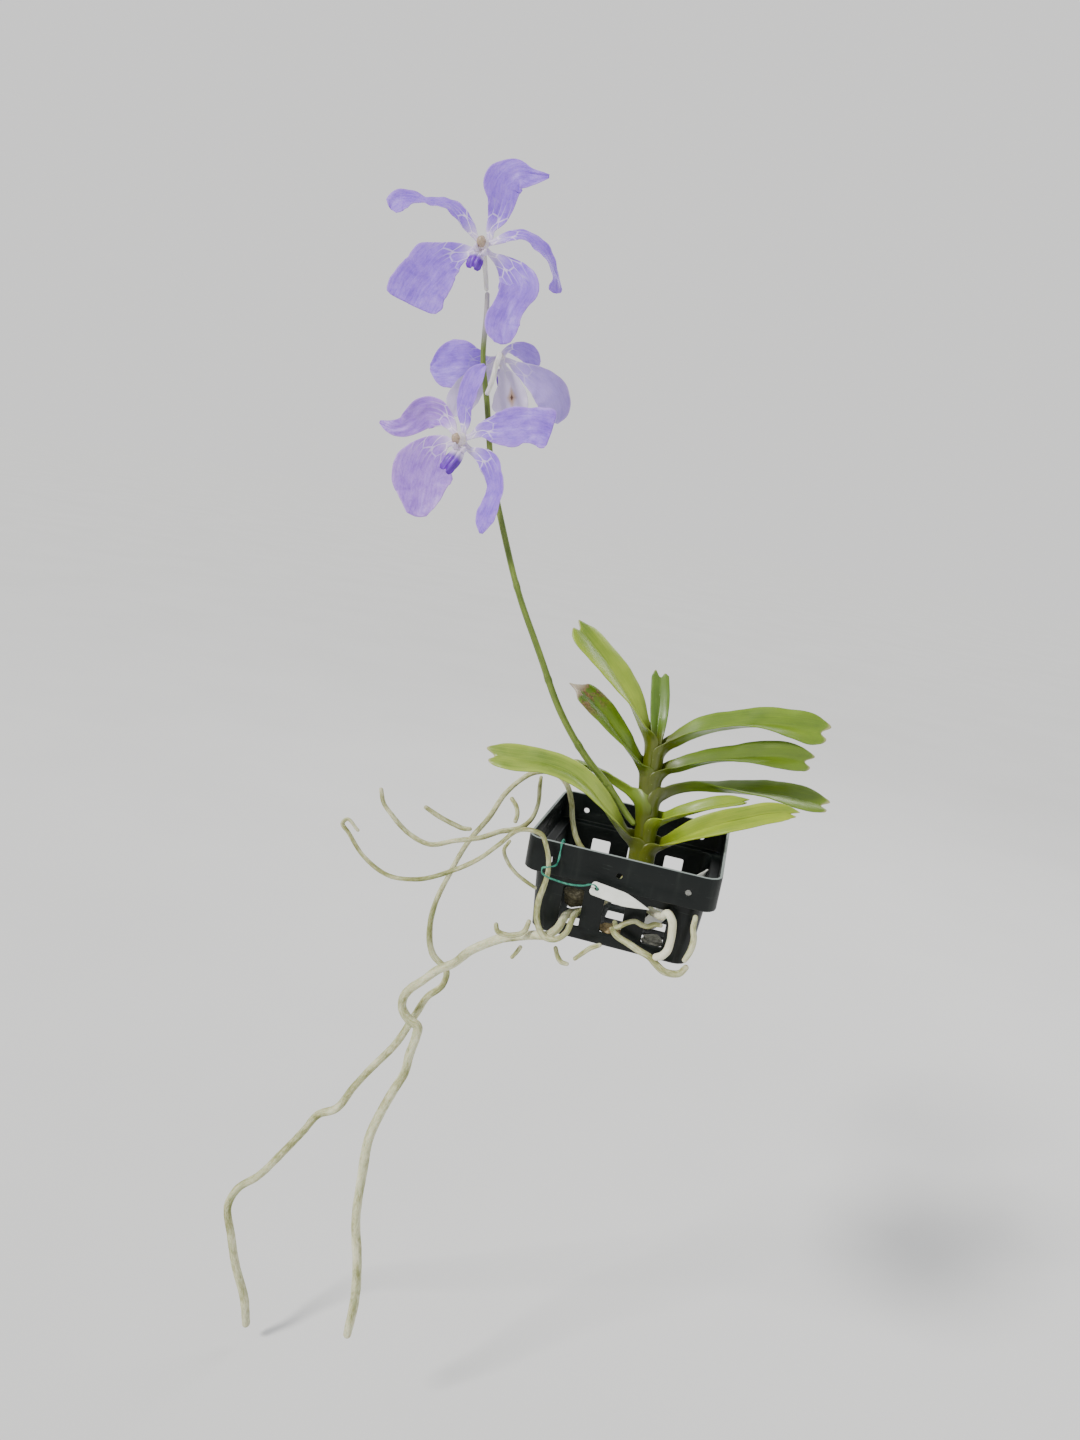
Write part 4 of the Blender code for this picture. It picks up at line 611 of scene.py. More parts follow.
def root_finish(name, white):
    made = Finish(name, 0.82)
    patches = made.grain((0.16, 0.16, 0.05), 4.0, 0.6)
    grain = made.grain((1.5, 1.5, 0.35), 4.0, 0.65)
    # white raises or lowers the tone; a negative value, as for root_hook, is painted shade.
    tone = made.math("ADD", made.total((patches, 0.65), (grain, 0.35)), white)
    made.colour = made.ramp(tone, (0.32, srgb(96, 98, 48)), (0.44, srgb(152, 154, 102)),
                            (0.57, srgb(206, 206, 168)), (0.74, srgb(236, 234, 208)))
    made.tint(made.grain((0.3, 0.3, 0.12), 5.0, 0.7), 0.62, 0.70, 0.0, 0.45, srgb(112, 108, 56))
    made.tint(made.grain((0.1, 0.1, 0.018), 2.0), 0.54, 0.66, 0.0, 0.35, srgb(118, 132, 66))
    made.tint(made.share[1], 0.965, 1.0, 0.0, 0.35, srgb(232, 228, 204))
    lumps = made.grain((0.8, 0.8, 0.5), 3.0)
    return made.set(Normal=made.bumps((lumps, 0.4, 0.4), (grain, 0.45, 0.22)),
                    Subsurface_Weight=0.08, Subsurface_Scale=0.001)


def tissue_finish(name, dark, light, roughness, stripes, glow):
    """Stems, stalks, stalklets and the flower's column: soft lengthwise stripes over a body colour."""
    made = Finish(name, roughness)
    wander = made.grain((0.25, 0.25, 0.08), 3.0)
    runs = made.grain((1.6, 1.6, stripes), 4.0, 0.6)
    fine = made.grain((4.0, 4.0, 3.0), 2.0)
    made.colour = made.ramp(made.total((wander, 0.5), (runs, 0.5)), (0.34, dark), (0.66, light))
    made.tint(fine, 0.66, 0.76, 0.0, 0.25, light)
    shine = made.ramp(wander, (0.3, grey(roughness - 0.08)), (0.7, grey(roughness + 0.1)))
    return made.set(Roughness=shine, Normal=made.bumps((runs, 0.3, 0.3), (fine, 0.15, 0.08)),
                    Subsurface_Weight=glow, Subsurface_Radius=(0.8, 1.0, 0.4), Subsurface_Scale=0.001)


def lip_finish(name):
    made = Finish(name, 0.38)
    across, along = made.share[:2]
    wander = made.grain((0.5, 0.25, 0.4), 4.0)
    made.colour = made.ramp(wander, (0.3, srgb(72, 0, 142)), (0.55, srgb(106, 4, 190)),
                            (0.75, srgb(142, 48, 214)))
    ridge = made.math("ABSOLUTE", made.math("SUBTRACT", made.math("ABSOLUTE", across), 0.3))
    made.tint(ridge, 0.03, 0.12, 0.3, 0.0, srgb(150, 110, 226))
    made.tint(along, 0.22, 0.5, 0.92, 0.0, srgb(226, 214, 236))
    fine = made.grain((3.0, 3.0, 3.0), 3.0)
    return made.set(Normal=made.bumps((wander, 0.3, 0.4), (fine, 0.3, 0.1)), Coat_Weight=0.2,
                    Subsurface_Weight=0.2, Subsurface_Radius=(0.6, 0.4, 1.0), Subsurface_Scale=0.001)


def column_finish(name):
    made = tissue_finish(name, srgb(214, 202, 200), srgb(240, 234, 232), 0.42, 0.3, 0.25)
    spots = made.grain((1.2, 1.2, 1.2), 3.0)
    cap = made.ramp(spots, (0.3, srgb(136, 112, 84)), (0.7, srgb(186, 160, 128)))
    made.tint(made.total((made.share[1], 1.0), (spots, 0.1)), 0.99, 1.03, 0.0, 0.85, cap)
    return made.set()


def basket_finish(name):
    made = Finish(name, 0.42, False)
    place = made.place
    cloud = made.noise(place, 22.0, 4.0)
    smear = made.noise(made.scaled(place, (1.0, 1.0, 0.15)), 160.0, 4.0, 0.65)
    grain = made.noise(place, 1500.0, 2.0)
    scratch = made.noise(made.scaled(place, (14.0, 14.0, 260.0)), 6.0, 3.0, 0.6, 0.8)
    made.colour = made.ramp(cloud, (0.3, srgb(5, 10, 9)), (0.7, srgb(14, 21, 19)))
    dust = made.math("MULTIPLY", made.band(smear, 0.5, 0.78), made.band(cloud, 0.35, 0.7))
    made.cover(made.math("MULTIPLY", dust, 0.3), srgb(90, 98, 90))
    made.tint(made.noise(place, 420.0, 3.0, 0.6), 0.70, 0.76, 0.0, 0.3, srgb(134, 138, 124))
    # Painted highlight: a thin band at the top of the rim is painted light grey-green, where the rim's edge
    # catches the light.
    height = made.parts(place)[2]
    made.tint(height, (RIM_HEIGHT - 0.5) * MM, (RIM_HEIGHT - 0.2) * MM, 0.0, 0.8, srgb(150, 160, 156))
    made.tint(scratch, 0.66, 0.70, 0.0, 0.22, srgb(84, 94, 88))
    return made.set(Roughness=made.math("ADD", made.total((smear, 0.28), (cloud, 0.16)), 0.18),
                    Normal=made.bumps((cloud, 0.15, 0.5), (grain, 0.18, 0.06), (scratch, 0.08, 0.1)),
                    Specular_IOR_Level=0.28)


def bark_finish(name, dark, light):
    made = Finish(name, 0.88, False)
    layers = made.noise(made.scaled(made.place, (60.0, 90.0, 420.0)), 1.0, 5.0, 0.65, 0.6)
    rough = made.noise(made.place, 520.0, 6.0, 0.7)
    tone = made.total((layers, 0.55), (rough, 0.45))
    made.colour = made.ramp(tone, (0.34, dark), (0.56, light), (0.74, srgb(196, 188, 160)))
    return made.set(Normal=made.bumps((layers, 0.7, 1.2), (rough, 0.6, 0.5)))


def label_finish(name):
    made = Finish(name, 0.3, False)
    smudge = made.noise(made.place, 120.0, 5.0, 0.65)
    made.colour = made.ramp(smudge, (0.3, srgb(226, 228, 216)), (0.65, srgb(247, 249, 240)))
    made.tint(made.noise(made.place, 380.0, 4.0, 0.7), 0.66, 0.74, 0.0, 0.35, srgb(176, 170, 146))
    return made.set(Roughness=made.math("ADD", made.math("MULTIPLY", smudge, 0.3), 0.16),
                    Normal=made.bumps((smudge, 0.1, 0.15)))


def wire_finish(name):
    made = Finish(name, 0.35)
    wander = made.grain((0.9, 0.9, 0.25), 3.0)
    made.colour = made.ramp(wander, (0.3, srgb(22, 104, 82)), (0.55, srgb(52, 150, 124)),
                            (0.75, srgb(116, 196, 170)))
    return made.set(Normal=made.bumps((wander, 0.2, 0.1)), Coat_Weight=0.3)


# ---- meshes ----------------------------------------------------------------------------------


def in_basket(mesh, middle=(0.0, 0.0, 0.0)):
    """A mesh of the plant's frame, in the basket's."""
    return ((mesh[0] + np.array(middle)) @ PLANT_TURN.T, *mesh[1:])


def linked(name, data):
    obj = bpy.data.objects.new(name, data)
    bpy.context.collection.objects.link(obj)
    return obj


def solid(name, points, faces):
    """An object from points in millimetres, with its faces turned out."""
    mesh = bpy.data.meshes.new(name)
    mesh.from_pydata([tuple(point) for point in np.asarray(points) * MM], [], faces)
    turned = bmesh.new()
    turned.from_mesh(mesh)
    bmesh.ops.recalc_face_normals(turned, faces=turned.faces)
    turned.to_mesh(mesh)
    turned.free()
    return linked(name, mesh)


def shade_smooth(mesh, angle=None):
    mesh.polygons.foreach_set("use_smooth", [True] * len(mesh.polygons))
    if angle:
        mesh.set_sharp_from_angle(angle=math.radians(angle))


def add_piece(name, mesh, finish, nodes=None, sharp=None):
    """One piece, riding on the body and standing for CAD nodes."""
    nodes = nodes or [name]
    obj = solid(name, *mesh[:2])
    for title, values in zip(("flat", "share"), mesh[2:]):
        layer = obj.data.attributes.new(title, "FLOAT_VECTOR", "POINT")
        layer.data.foreach_set("vector", np.asarray(values, np.float32).ravel())
    shade_smooth(obj.data, sharp)
    obj.data.materials.append(finish.material)
    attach(obj, "root")
    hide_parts(*nodes)
    return obj


def hoops(rings, sides, first=0):
    """The faces between rings of points that follow each other."""
    return [(first + i * sides + j, first + i * sides + (j + 1) % sides,
             first + (i + 1) * sides + (j + 1) % sides, first + (i + 1) * sides + j)
            for i in range(rings - 1) for j in range(sides)]


def surface(count, columns, place):
    """A grid of places, and how far across each lies. place(i, s, a) gives both, for row i at the
    share s of the length, and for a from -1 to 1 across."""
    grid = np.empty((count, columns, 3))
    across = np.empty((count, columns))
    for i in range(count):
        for j, a in enumerate(np.linspace(-1, 1, columns)):
            grid[i, j], across[i, j] = place(i, i / (count - 1), a)
    return grid, across


def sheet_mesh(surfaces, along, thickness):
    """Points, faces, flat and share values of a closed skin round a surface."""
    middle, across = surfaces
    out = np.cross(np.gradient(middle, axis=0), np.gradient(middle, axis=1))
    out = out / np.maximum(np.linalg.norm(out, axis=-1, keepdims=True), 1e-9)
    rows, columns = middle.shape[:2]
    size = rows * columns
    half = (np.ones((rows, columns)) * thickness / 2)[..., None]
    points = np.concatenate([(middle + out * half).reshape(-1, 3), (middle - out * half).reshape(-1, 3)])
    i, j = np.meshgrid(np.arange(rows - 1), np.arange(columns - 1), indexing="ij")
    a = (i * columns + j).ravel()
    b = a + columns
    faces = np.concatenate([np.stack([a, a + 1, b + 1, b], 1), np.stack([a, b, b + 1, a + 1], 1) + size])
    ring = list(range(columns))
    ring += [i * columns + columns - 1 for i in range(1, rows)]
    ring += [(rows - 1) * columns + j for j in range(columns - 2, -1, -1)]
    ring += [i * columns for i in range(rows - 2, 0, -1)]
    rim = [(p, p + size, q + size, q) for p, q in zip(ring, ring[1:] + ring[:1])]
    run = np.repeat(along[:, None], columns, 1)
    wide, far = np.meshgrid(np.linspace(-1, 1, columns), np.linspace(0, 1, rows))
    sides = [np.full_like(across, top) for top in (1.0, 0.0)]
    flat = [np.stack([across, run, 3 * side], -1).reshape(-1, 3) for side in sides]
    share = [np.stack([wide, far, side], -1).reshape(-1, 3) for side in sides]
    faces = [tuple(face) for face in faces.tolist()] + rim
    return points, faces, np.concatenate(flat), np.concatenate(share)


def tube_mesh(rows, count, sides, swell=None):
    """Points, faces, flat and share values of a tube with domed ends. swell(s, angle) scales its radius."""
    rows = smooth(rows, count)
    tangents = headings(rows)
    first = np.array([0.0, 1.0, 0.0]) if abs(tangents[0][1]) < 0.9 else np.array([1.0, 0.0, 0.0])
    side = carried(tangents, first)
    other = np.cross(tangents, side)
    run = run_of(rows)
    dome = [math.radians(angle) for angle in (80, 60, 40, 20)]

    def beyond(i, sign, angle):
        centre = rows[i][:3] + sign * tangents[i] * rows[i][3] * math.sin(angle)
        return centre, rows[i][3] * math.cos(angle), i

    rings = [beyond(0, -1, angle) for angle in dome]
    rings += [(row[:3], row[3], i) for i, row in enumerate(rows)]
    rings += [beyond(-1, 1, angle) for angle in reversed(dome)]
    points, flat, share = [], [], []
    for centre, radius, i in rings:
        for step in range(sides):
            angle = step * 2 * math.pi / sides
            reach = radius * (swell(run[i], angle) if swell else 1.0)
            x, y = math.cos(angle), math.sin(angle)
            points.append(centre + reach * (x * side[i] + y * other[i]))
            flat.append((radius * x, radius * y, run[i]))
            share.append((step / sides, run[i] / run[-1], 0))
    for i, sign in ((0, -1), (-1, 1)):
        points.append(rows[i][:3] + sign * tangents[i] * rows[i][3])
        flat.append((0, 0, run[i]))
        share.append((0, run[i] / run[-1], 0))
    faces = hoops(len(rings), sides)
    last = (len(rings) - 1) * sides
    for j in range(sides):
        faces.append((len(points) - 2, (j + 1) % sides, j))
        faces.append((len(points) - 1, last + j, last + (j + 1) % sides))
    return np.array(points), faces, np.array(flat), np.array(share)


def joined(*meshes):
    """Several meshes as one."""
    faces = []
    first = 0
    for mesh in meshes:
        faces += [tuple(index + first for index in face) for face in mesh[1]]
        first += len(mesh[0])
    points, flat, share = (np.concatenate([mesh[i] for mesh in meshes]) for i in (0, 2, 3))
    return points, faces, flat, share


# ---- leaves ----------------------------------------------------------------------------------

LEAF_LOOKS = {  # dark, light, seed
    "leaf_right_1": (srgb(46, 84, 0), srgb(122, 154, 16), 0.4),
    "leaf_right_2": (srgb(42, 72, 0), srgb(96, 126, 14), 1.7),
    "leaf_right_3": (srgb(48, 78, 2), srgb(112, 140, 20), 2.9),
    "leaf_right_4": (srgb(86, 118, 4), srgb(164, 186, 34), 3.6),
    "leaf_right_5": (srgb(92, 124, 2), srgb(180, 196, 40), 4.8),
    "leaf_left_1": (srgb(92, 124, 14), srgb(164, 186, 54), 5.5),
    "leaf_left_2": (srgb(38, 70, 0), srgb(110, 138, 22), 6.1),
    "leaf_left_3": (srgb(90, 120, 22), srgb(170, 190, 74), 7.3),
    "leaf_left_4": (srgb(60, 90, 6), srgb(118, 142, 28), 8.2),
    "leaf_youngest": (srgb(30, 74, 0), srgb(78, 120, 8), 9.4),
}
YOUNGEST_LEAF = [  # its keel as above, but from the stem's middle
    (12.2, 49, -0.6, 3.0, 34, 0), (12.8, 55, -1.4, 4.2, 38, 0), (13.4, 61, -3.0, 5.4, 42, 0),
    (14.9, 71, -7.0, 5.9, 56, 0), (16, 82, -9.8, 5.9, 66, 0), (16.6, 98, -12.4, 5.0, 72, 0),
]
BASE_WRAP = 106.0  # degrees each way round the stem, by a leaf's base
BASE_DEPTH = 13.0  # from the leaf's foot down to where its base is hidden
KEEL = 0.10  # share of the half width over which the fold is rounded
END_SHARE = 0.13  # share of the leaf's length over which its end is cut


def leaf_surface(rows, side, towards, columns, seed, opened, pointed):
    """The middle of a leaf: a sheath round the stem that opens into a folded blade."""
    tangents = headings(rows)
    inward = carried(tangents, np.array(towards, float))
    facing = side * np.cross(tangents, inward)
    run = run_of(rows)

    def place(i, s, a):
        x, y, z, half, fold, roll, sheath, sheath_radius = rows[i]
        roll = math.radians(roll)
        up = math.cos(roll) * inward[i] + math.sin(roll) * facing[i]
        out = math.cos(roll) * facing[i] - math.sin(roll) * inward[i]
        share = min(max(sheath, 0.0), 1.0)
        cut = max(0.0, (s - 1 + END_SHARE) / END_SHARE) ** 2
        wrap = math.radians(BASE_WRAP) * a
        near = math.sqrt(a * a + KEEL * KEEL) - KEEL
        bend = math.radians(fold + opened * s + 3.0 * wave(run[i] / 17, seed + (a > 0)))
        rise = 0.05 * math.sin(math.pi * min(abs(a), 1)) + 0.02 * wave(run[i] / 9 + 2 * a, seed)
        blade = half * ((near * math.cos(bend) + rise * math.sin(bend)) * up
                        + (a * math.sin(bend) - math.copysign(rise, a) * math.cos(bend)) * out)
        blade = blade + 0.35 * abs(a) ** 3 * wave(run[i] / 6, seed + 3 * (a > 0)) * up
        hug = sheath_radius * ((1 - math.cos(wrap)) * inward[i] + math.sin(wrap) * facing[i])
        notch = math.cos(min(abs(a) / 0.58, 1) * math.pi / 2) ** 2 + max(0.0, (abs(a) - 0.55) / 0.45) ** 2
        if pointed:
            notch = 2.0 * abs(a) ** 1.3
        back = (1.15 * NOTCH * notch + 2 * (a > 0) * math.sin(math.pi * abs(a))) * cut
        return np.array([x, y, z]) + share * hug + (1 - share) * blade - back * tangents[i], half * a

    return surface(len(rows), columns, place)


def add_leaf(name, rows, side, towards, columns, count):
    dark, light, seed = LEAF_LOOKS[name]
    opened = {"leaf_left_1": 22.0, "leaf_left_2": 10.0}.get(name, 0.0)
    damaged = name == "leaf_left_2"
    rows = smooth(rows, count)
    steps, ends = np.meshgrid(np.linspace(-1, 1, columns), np.linspace(0, 1, count))
    edge = 1 - 0.62 * np.abs(steps) ** 5
    keel = 1 + 0.35 * peak(steps, 0, 0.16)
    thin = 1 - 0.6 * np.clip((ends - 0.97) / 0.03, 0, 1) - 0.4 * np.clip((0.02 - ends) / 0.02, 0, 1)
    surfaces = leaf_surface(rows, side, towards, columns, seed, opened, damaged)
    mesh = sheet_mesh(surfaces, run_of(rows), LEAF_THICKNESS * edge * keel * thin)
    finish = leaf_finish(name, dark, light, 0.95 * damaged, 0.2 * (name == "leaf_left_3"))
    add_piece(name, in_basket(mesh), finish)


def build_leaves():
    for name, (side, foot, top, blade) in LEAVES.items():
        rows = []
        # A leaf's base lies inside the base of the leaf below it, and flares as it rises.
        levels = ((foot - BASE_DEPTH, 0.1), (foot - BASE_DEPTH / 2, 0.6), (foot, 1.1), (top, 1.9))
        for height, gap in levels:
            x, z, radius = stem_at(height)
            hug = radius + gap + 0.3
            rows.append((x + side * hug, height, z, hug * math.radians(SHEATH_WRAP), 45, 0, 1, hug))
        rows += [(row[0] + side * STEM_RADIUS, *row[1:], 0, rows[-1][-1]) for row in blade]
        add_leaf(name, rows, side, (-side, 0, 0), 37, 130)
    add_leaf("leaf_youngest", [(*row, 0, 1) for row in YOUNGEST_LEAF], 1, (0, 0, 1), 33, 70)


# ---- flowers ---------------------------------------------------------------------------------

TEPAL_ROWS = 60
TEPAL_COLUMNS = 37
LIP_ROWS = 34
LIP_COLUMNS = 29
TEPALS = ("dorsal_sepal", "petal_left", "petal_right", "sepal_left", "sepal_right")
VIOLET = (srgb(108, 68, 190), srgb(146, 102, 226), srgb(186, 150, 244))
WARM_VIOLET = (srgb(122, 76, 182), srgb(164, 116, 220), srgb(202, 166, 240))
WARM = ("flower_bottom_petal_left", "flower_bottom_sepal_left")
PALE = {"flower_middle_sepal_right": 0.8, "flower_middle_sepal_left": 0.75,
        "flower_middle_petal_right": 0.35, "flower_middle_dorsal_sepal": 0.1}


def full_row(x, y, z, left, right=None, turn=0):
    return (x, y, z, left, left if right is None else right, turn)


def blade_frame(rows):
    """The way along, to the left and out of the face of a blade, at each of its rows."""
    tangents = headings(rows)
    left = unit(np.cross((0.0, 0.0, 1.0), tangents))
    return tangents, left, np.cross(tangents, left)


def tepal_surface(rows, ruffle, seed):
    """The middle of a petal or sepal, dished a little, with a wavy edge."""
    left, face = blade_frame(rows)[1:]
    run = run_of(rows)

    def place(i, s, a):
        row = rows[i]
        tilt = math.radians(row[5])
        across = math.cos(tilt) * left[i] + math.sin(tilt) * face[i]
        lift = math.cos(tilt) * face[i] - math.sin(tilt) * left[i]
        reach = -a * (row[3] if a < 0 else row[4])
        wide = abs(reach)
        frill = ruffle * abs(a) ** 2.5 * wave(run[i] / 4.2, seed + 4 * (a > 0)) * min(1, wide / 5)
        crease = -0.5 * peak(a, 0, 0.13) * min(1, wide / 4 + 0.4)
        swell = 0.5 * ruffle * wave(run[i] / 9 + 2.2 * a, 1.3 * seed)
        grow = 1 + 0.03 * wave(run[i] / 3.1, seed + 9 * (a > 0)) * abs(a) ** 4
        rise = TEPAL_CUP * wide * abs(a) + (frill + crease + swell) * min(1.0, 3 * s)
        return row[:3] + reach * grow * across + rise * lift, reach

    return surface(TEPAL_ROWS, TEPAL_COLUMNS, place)


def rounded_end(rows):
    """The rows, with more that round off a blade that is still wide where it ends."""
    last, before = np.array(rows[-1], float), np.array(rows[-2], float)
    wide = (last[3] + last[4]) / 2
    if wide < 2.2:
        return rows
    heading = unit(last[:3] - before[:3])
    ends = ((0.12, 0.95), (0.2, 0.8)) if wide > 8 else ((0.28, 0.9), (0.48, 0.66), (0.6, 0.3))
    return rows + [(*(last[:3] + heading * wide * step * 0.55), last[3] * share, last[4] * share, last[5])
                   for step, share in ends]


def build_flower(name, parts, seed):
    middle = parts["centre"]
    for number, tepal in enumerate(TEPALS):
        rows = [full_row(*row) for row in parts[tepal]]
        # The foot of each tepal runs in under the column.
        x, y, z, *rest = rows[0]
        rows = smooth([(0.3 * x, 0.3 * y, z - 0.6, *rest), *rounded_end(rows)], TEPAL_ROWS)
        steps, ends = np.meshgrid(np.linspace(-1, 1, TEPAL_COLUMNS), np.linspace(0, 1, TEPAL_ROWS))
        thickness = 0.75 * (1 - 0.55 * np.abs(steps) ** 4) * (1.5 - 0.6 * np.clip(ends * 4, 0, 1))
        thickness = thickness * (1 - 0.5 * np.clip((ends - 0.95) / 0.05, 0, 1))
        surfaces = tepal_surface(rows, 1.1 if "petal" in tepal else 0.8, seed + 1.7 * number)
        node = f"{name}_{tepal}"
        finish = tepal_finish(node, WARM_VIOLET if node in WARM else VIOLET, PALE.get(node, 0.0),
                              node == "flower_middle_sepal_right")
        mesh = sheet_mesh(surfaces, run_of(rows), thickness)
        add_piece(node, in_basket(mesh, middle), finish)
    node = name + "_lip"
    add_piece(node, in_basket(lip_mesh(parts["lip"]), middle), lip_finish(node))

    def column(s, angle):
        return 1.3 + 0.10 * math.cos(2 * angle) + 0.07 * math.sin(s * 1.9) + 0.04 * math.cos(5 * angle + s)

    def pedicel(s, angle):
        return 1 + 0.09 * math.cos(6 * (angle + s / 9))

    node = name + "_column"
    mesh = tube_mesh(parts["column"], 30, 28, column)
    add_piece(node, in_basket(mesh, middle), column_finish(node))
    node = name + "_pedicel"
    finish = tissue_finish(node, srgb(206, 204, 190), srgb(244, 244, 236), 0.4, 0.05, 0.25)
    add_piece(node, in_basket(tube_mesh(parts["pedicel"], 40, 24, pedicel)), finish)


def lip_mesh(rows):
    """The lip's long middle lobe with two ridges and a two-knobbed end, its side lobes and its spur."""
    rows = smooth([full_row(*row) for row in rows], LIP_ROWS)
    tangents, left, face = blade_frame(rows)

    def place(i, s, a):
        wide = rows[i][3] * (1 + 0.25 * peak(s, 0.9, 0.1))
        ridge = 0.9 * peak(abs(a), 0.3, 0.13) * math.sin(math.pi * min(s * 1.1, 1))
        droop = -0.35 * wide * a * a
        knob = -1.5 * peak(a, 0, 0.28) * max(0, (s - 0.8) / 0.2) ** 2
        return rows[i][:3] + a * wide * left[i] + (ridge + droop) * face[i] + knob * tangents[i], a * wide

    blade = sheet_mesh(surface(LIP_ROWS, LIP_COLUMNS, place), np.linspace(0, 12, LIP_ROWS), 1.1)
    root = rows[4][:3]
    lobes = []
    for way in (-left[4], left[4]):
        foot = root + way * 1.6 + face[4] * 0.4
        lobes.append([(*foot, 1.2), (*(foot + way * 1.1 + face[4] * 1.6), 1.5),
                      (*(foot + way * 1.3 + face[4] * 3.0), 0.9)])
    spur = -face[2] * 0.8 - tangents[2] * 0.2
    lobes.append([(*(root + spur * far), radius) for far, radius in ((0.4, 1.5), (3.2, 1.2), (5.6, 0.7))])
    lobes = [tube_mesh(lobe, 12, 16) for lobe in lobes]
    return joined(blade, *((*lobe[:3], lobe[3] * 0) for lobe in lobes))


def bract(place, heading, away, length, width):
    """A small pointed scale that clasps the stalk."""
    heading, away = unit(np.array(heading, float)), np.array(away, float)
    away = unit(away - heading * (away @ heading))
    side = np.cross(heading, away)
    count, columns = 16, 11

    def spot(i, s, a):
        wide = width * (1 - s**2.2)
        angle = a * 1.25 * (1 - 0.5 * s)
        reach = wide / 1.25
        return (place + heading * length * s + away * (reach * math.cos(angle) + 0.18 * length * s * s)
                + side * reach * math.sin(angle)), a * wide

    return sheet_mesh(surface(count, columns, spot), np.linspace(0, length, count), 0.3)


def build_stalk():
    rows = smooth(STALK, 400)
    tangents = headings(rows)
    knots = (24.0, 52.0, 92.0, 146.0)

    def swell(s, angle):
        rings = sum(0.16 * peak(s, knot, 1.6) for knot in knots)
        return 1 + 0.02 * wave(s / 7 + math.cos(angle), 2.0) + rings

    parts = [tube_mesh(STALK, 320, 20, swell)]
    for number, knot in enumerate(knots):
        i = int(np.searchsorted(run_of(rows), knot))
        away = (1, 0.2, 0.5) if number % 2 else (-1, 0.2, 0.6)
        parts.append(bract(rows[i][:3], tangents[i], away, 6.0, rows[i][3] * 1.3))
    for flower in FLOWERS.values():
        foot = np.array(flower["pedicel"][0][:3])
        i = int(np.argmin(np.linalg.norm(rows[:, :3] - foot, axis=1)))
        parts.append(bract(rows[max(i - 8, 0)][:3], tangents[i], (0.1, 0, -1), 4.0, rows[i][3] * 1.2))
    finish = tissue_finish("flower_stalk", srgb(70, 92, 22), srgb(128, 148, 58), 0.42, 0.02, 0.12)
    finish.tint(finish.share[1], 0.9, 0.95, 0.0, 0.75, srgb(190, 180, 190))
    add_piece("flower_stalk", in_basket(joined(*parts)), finish.set())


def build_stem():
    def swell(s, angle):
        ring = 0.035 * math.cos(2 * math.pi * s / 9.5) ** 15
        return 1 + ring + 0.02 * wave(s / 3, math.cos(angle) * 2) + 0.012 * math.cos(14 * angle)

    rows = [row for row in STEM if row[1] < 50] + [(12.3, 56, 0, 2.6)]
    finish = tissue_finish("stem", srgb(66, 76, 12), srgb(108, 122, 28), 0.5, 0.04, 0.1)
    add_piece("stem", in_basket(tube_mesh(rows, 160, 48, swell)), finish)


# ---- roots -----------------------------------------------------------------------------------

# How much each root's tone is raised; root_hook's negative value is painted shade, darkening that whole
# root towards olive.
ROOT_PALENESS_AND_SHADE = {"root_white": 0.16, "root_corner": 0.05, "root_thick": 0.05, "root_hook": -0.04}


def build_roots():
    for number, (name, route) in enumerate(root_routes().items()):
        seed = 1.3 * number

        def swell(s, angle, seed=seed):
            lump = 0.045 * wave(s / 8, seed) + 0.03 * wave(s / 2.3, 2 * seed)
            return 1 + lump + 0.03 * math.cos(2 * angle + s / 13) + 0.012 * math.cos(9 * angle + s / 30)

        length = run_of(np.array(route))[-1]
        mesh = tube_mesh(route, max(24, int(length / 1.1)), 20, swell)
        add_piece(name, mesh, root_finish(name, ROOT_PALENESS_AND_SHADE.get(name, 0.0)))


# ---- basket ----------------------------------------------------------------------------------


def cutter(outline, places, length, way):
    """The outline drawn out along one way, at each of the places."""
    points, faces = [], []
    sides = len(outline)
    other_ways = [other for other in range(3) if other != way]
    for place in places:
        first = len(points)
        for end in (-0.5, 0.5):
            for spot in outline:
                point = list(place)
                point[way] += end * length
                for other, step in zip(other_ways, spot):
                    point[other] += step
                points.append(point)
        faces += hoops(2, sides, first)
        faces += [tuple(range(first, first + sides)), tuple(range(first + sides, first + 2 * sides))]
    return solid("cutter", points, faces)


def settle(obj, cutters, bevel, angle):
    """Cuts the object, rounds its edges and makes the result its own mesh."""
    for tool in cutters:
        modifier = obj.modifiers.new(tool.name, "BOOLEAN")
        modifier.operation = "DIFFERENCE"
        modifier.solver = "EXACT"
        modifier.object = tool
    if bevel:
        modifier = obj.modifiers.new("bevel", "BEVEL")
        modifier.width = bevel * MM
        modifier.segments = 2
        modifier.limit_method = "ANGLE"
        modifier.angle_limit = math.radians(40)
        modifier.harden_normals = False
    bpy.context.view_layer.update()
    made = bpy.data.meshes.new_from_object(obj.evaluated_get(bpy.context.evaluated_depsgraph_get()))
    obj.modifiers.clear()
    obj.data = made
    shade_smooth(made, angle)
    for tool in cutters:
        bpy.data.objects.remove(tool, do_unlink=True)


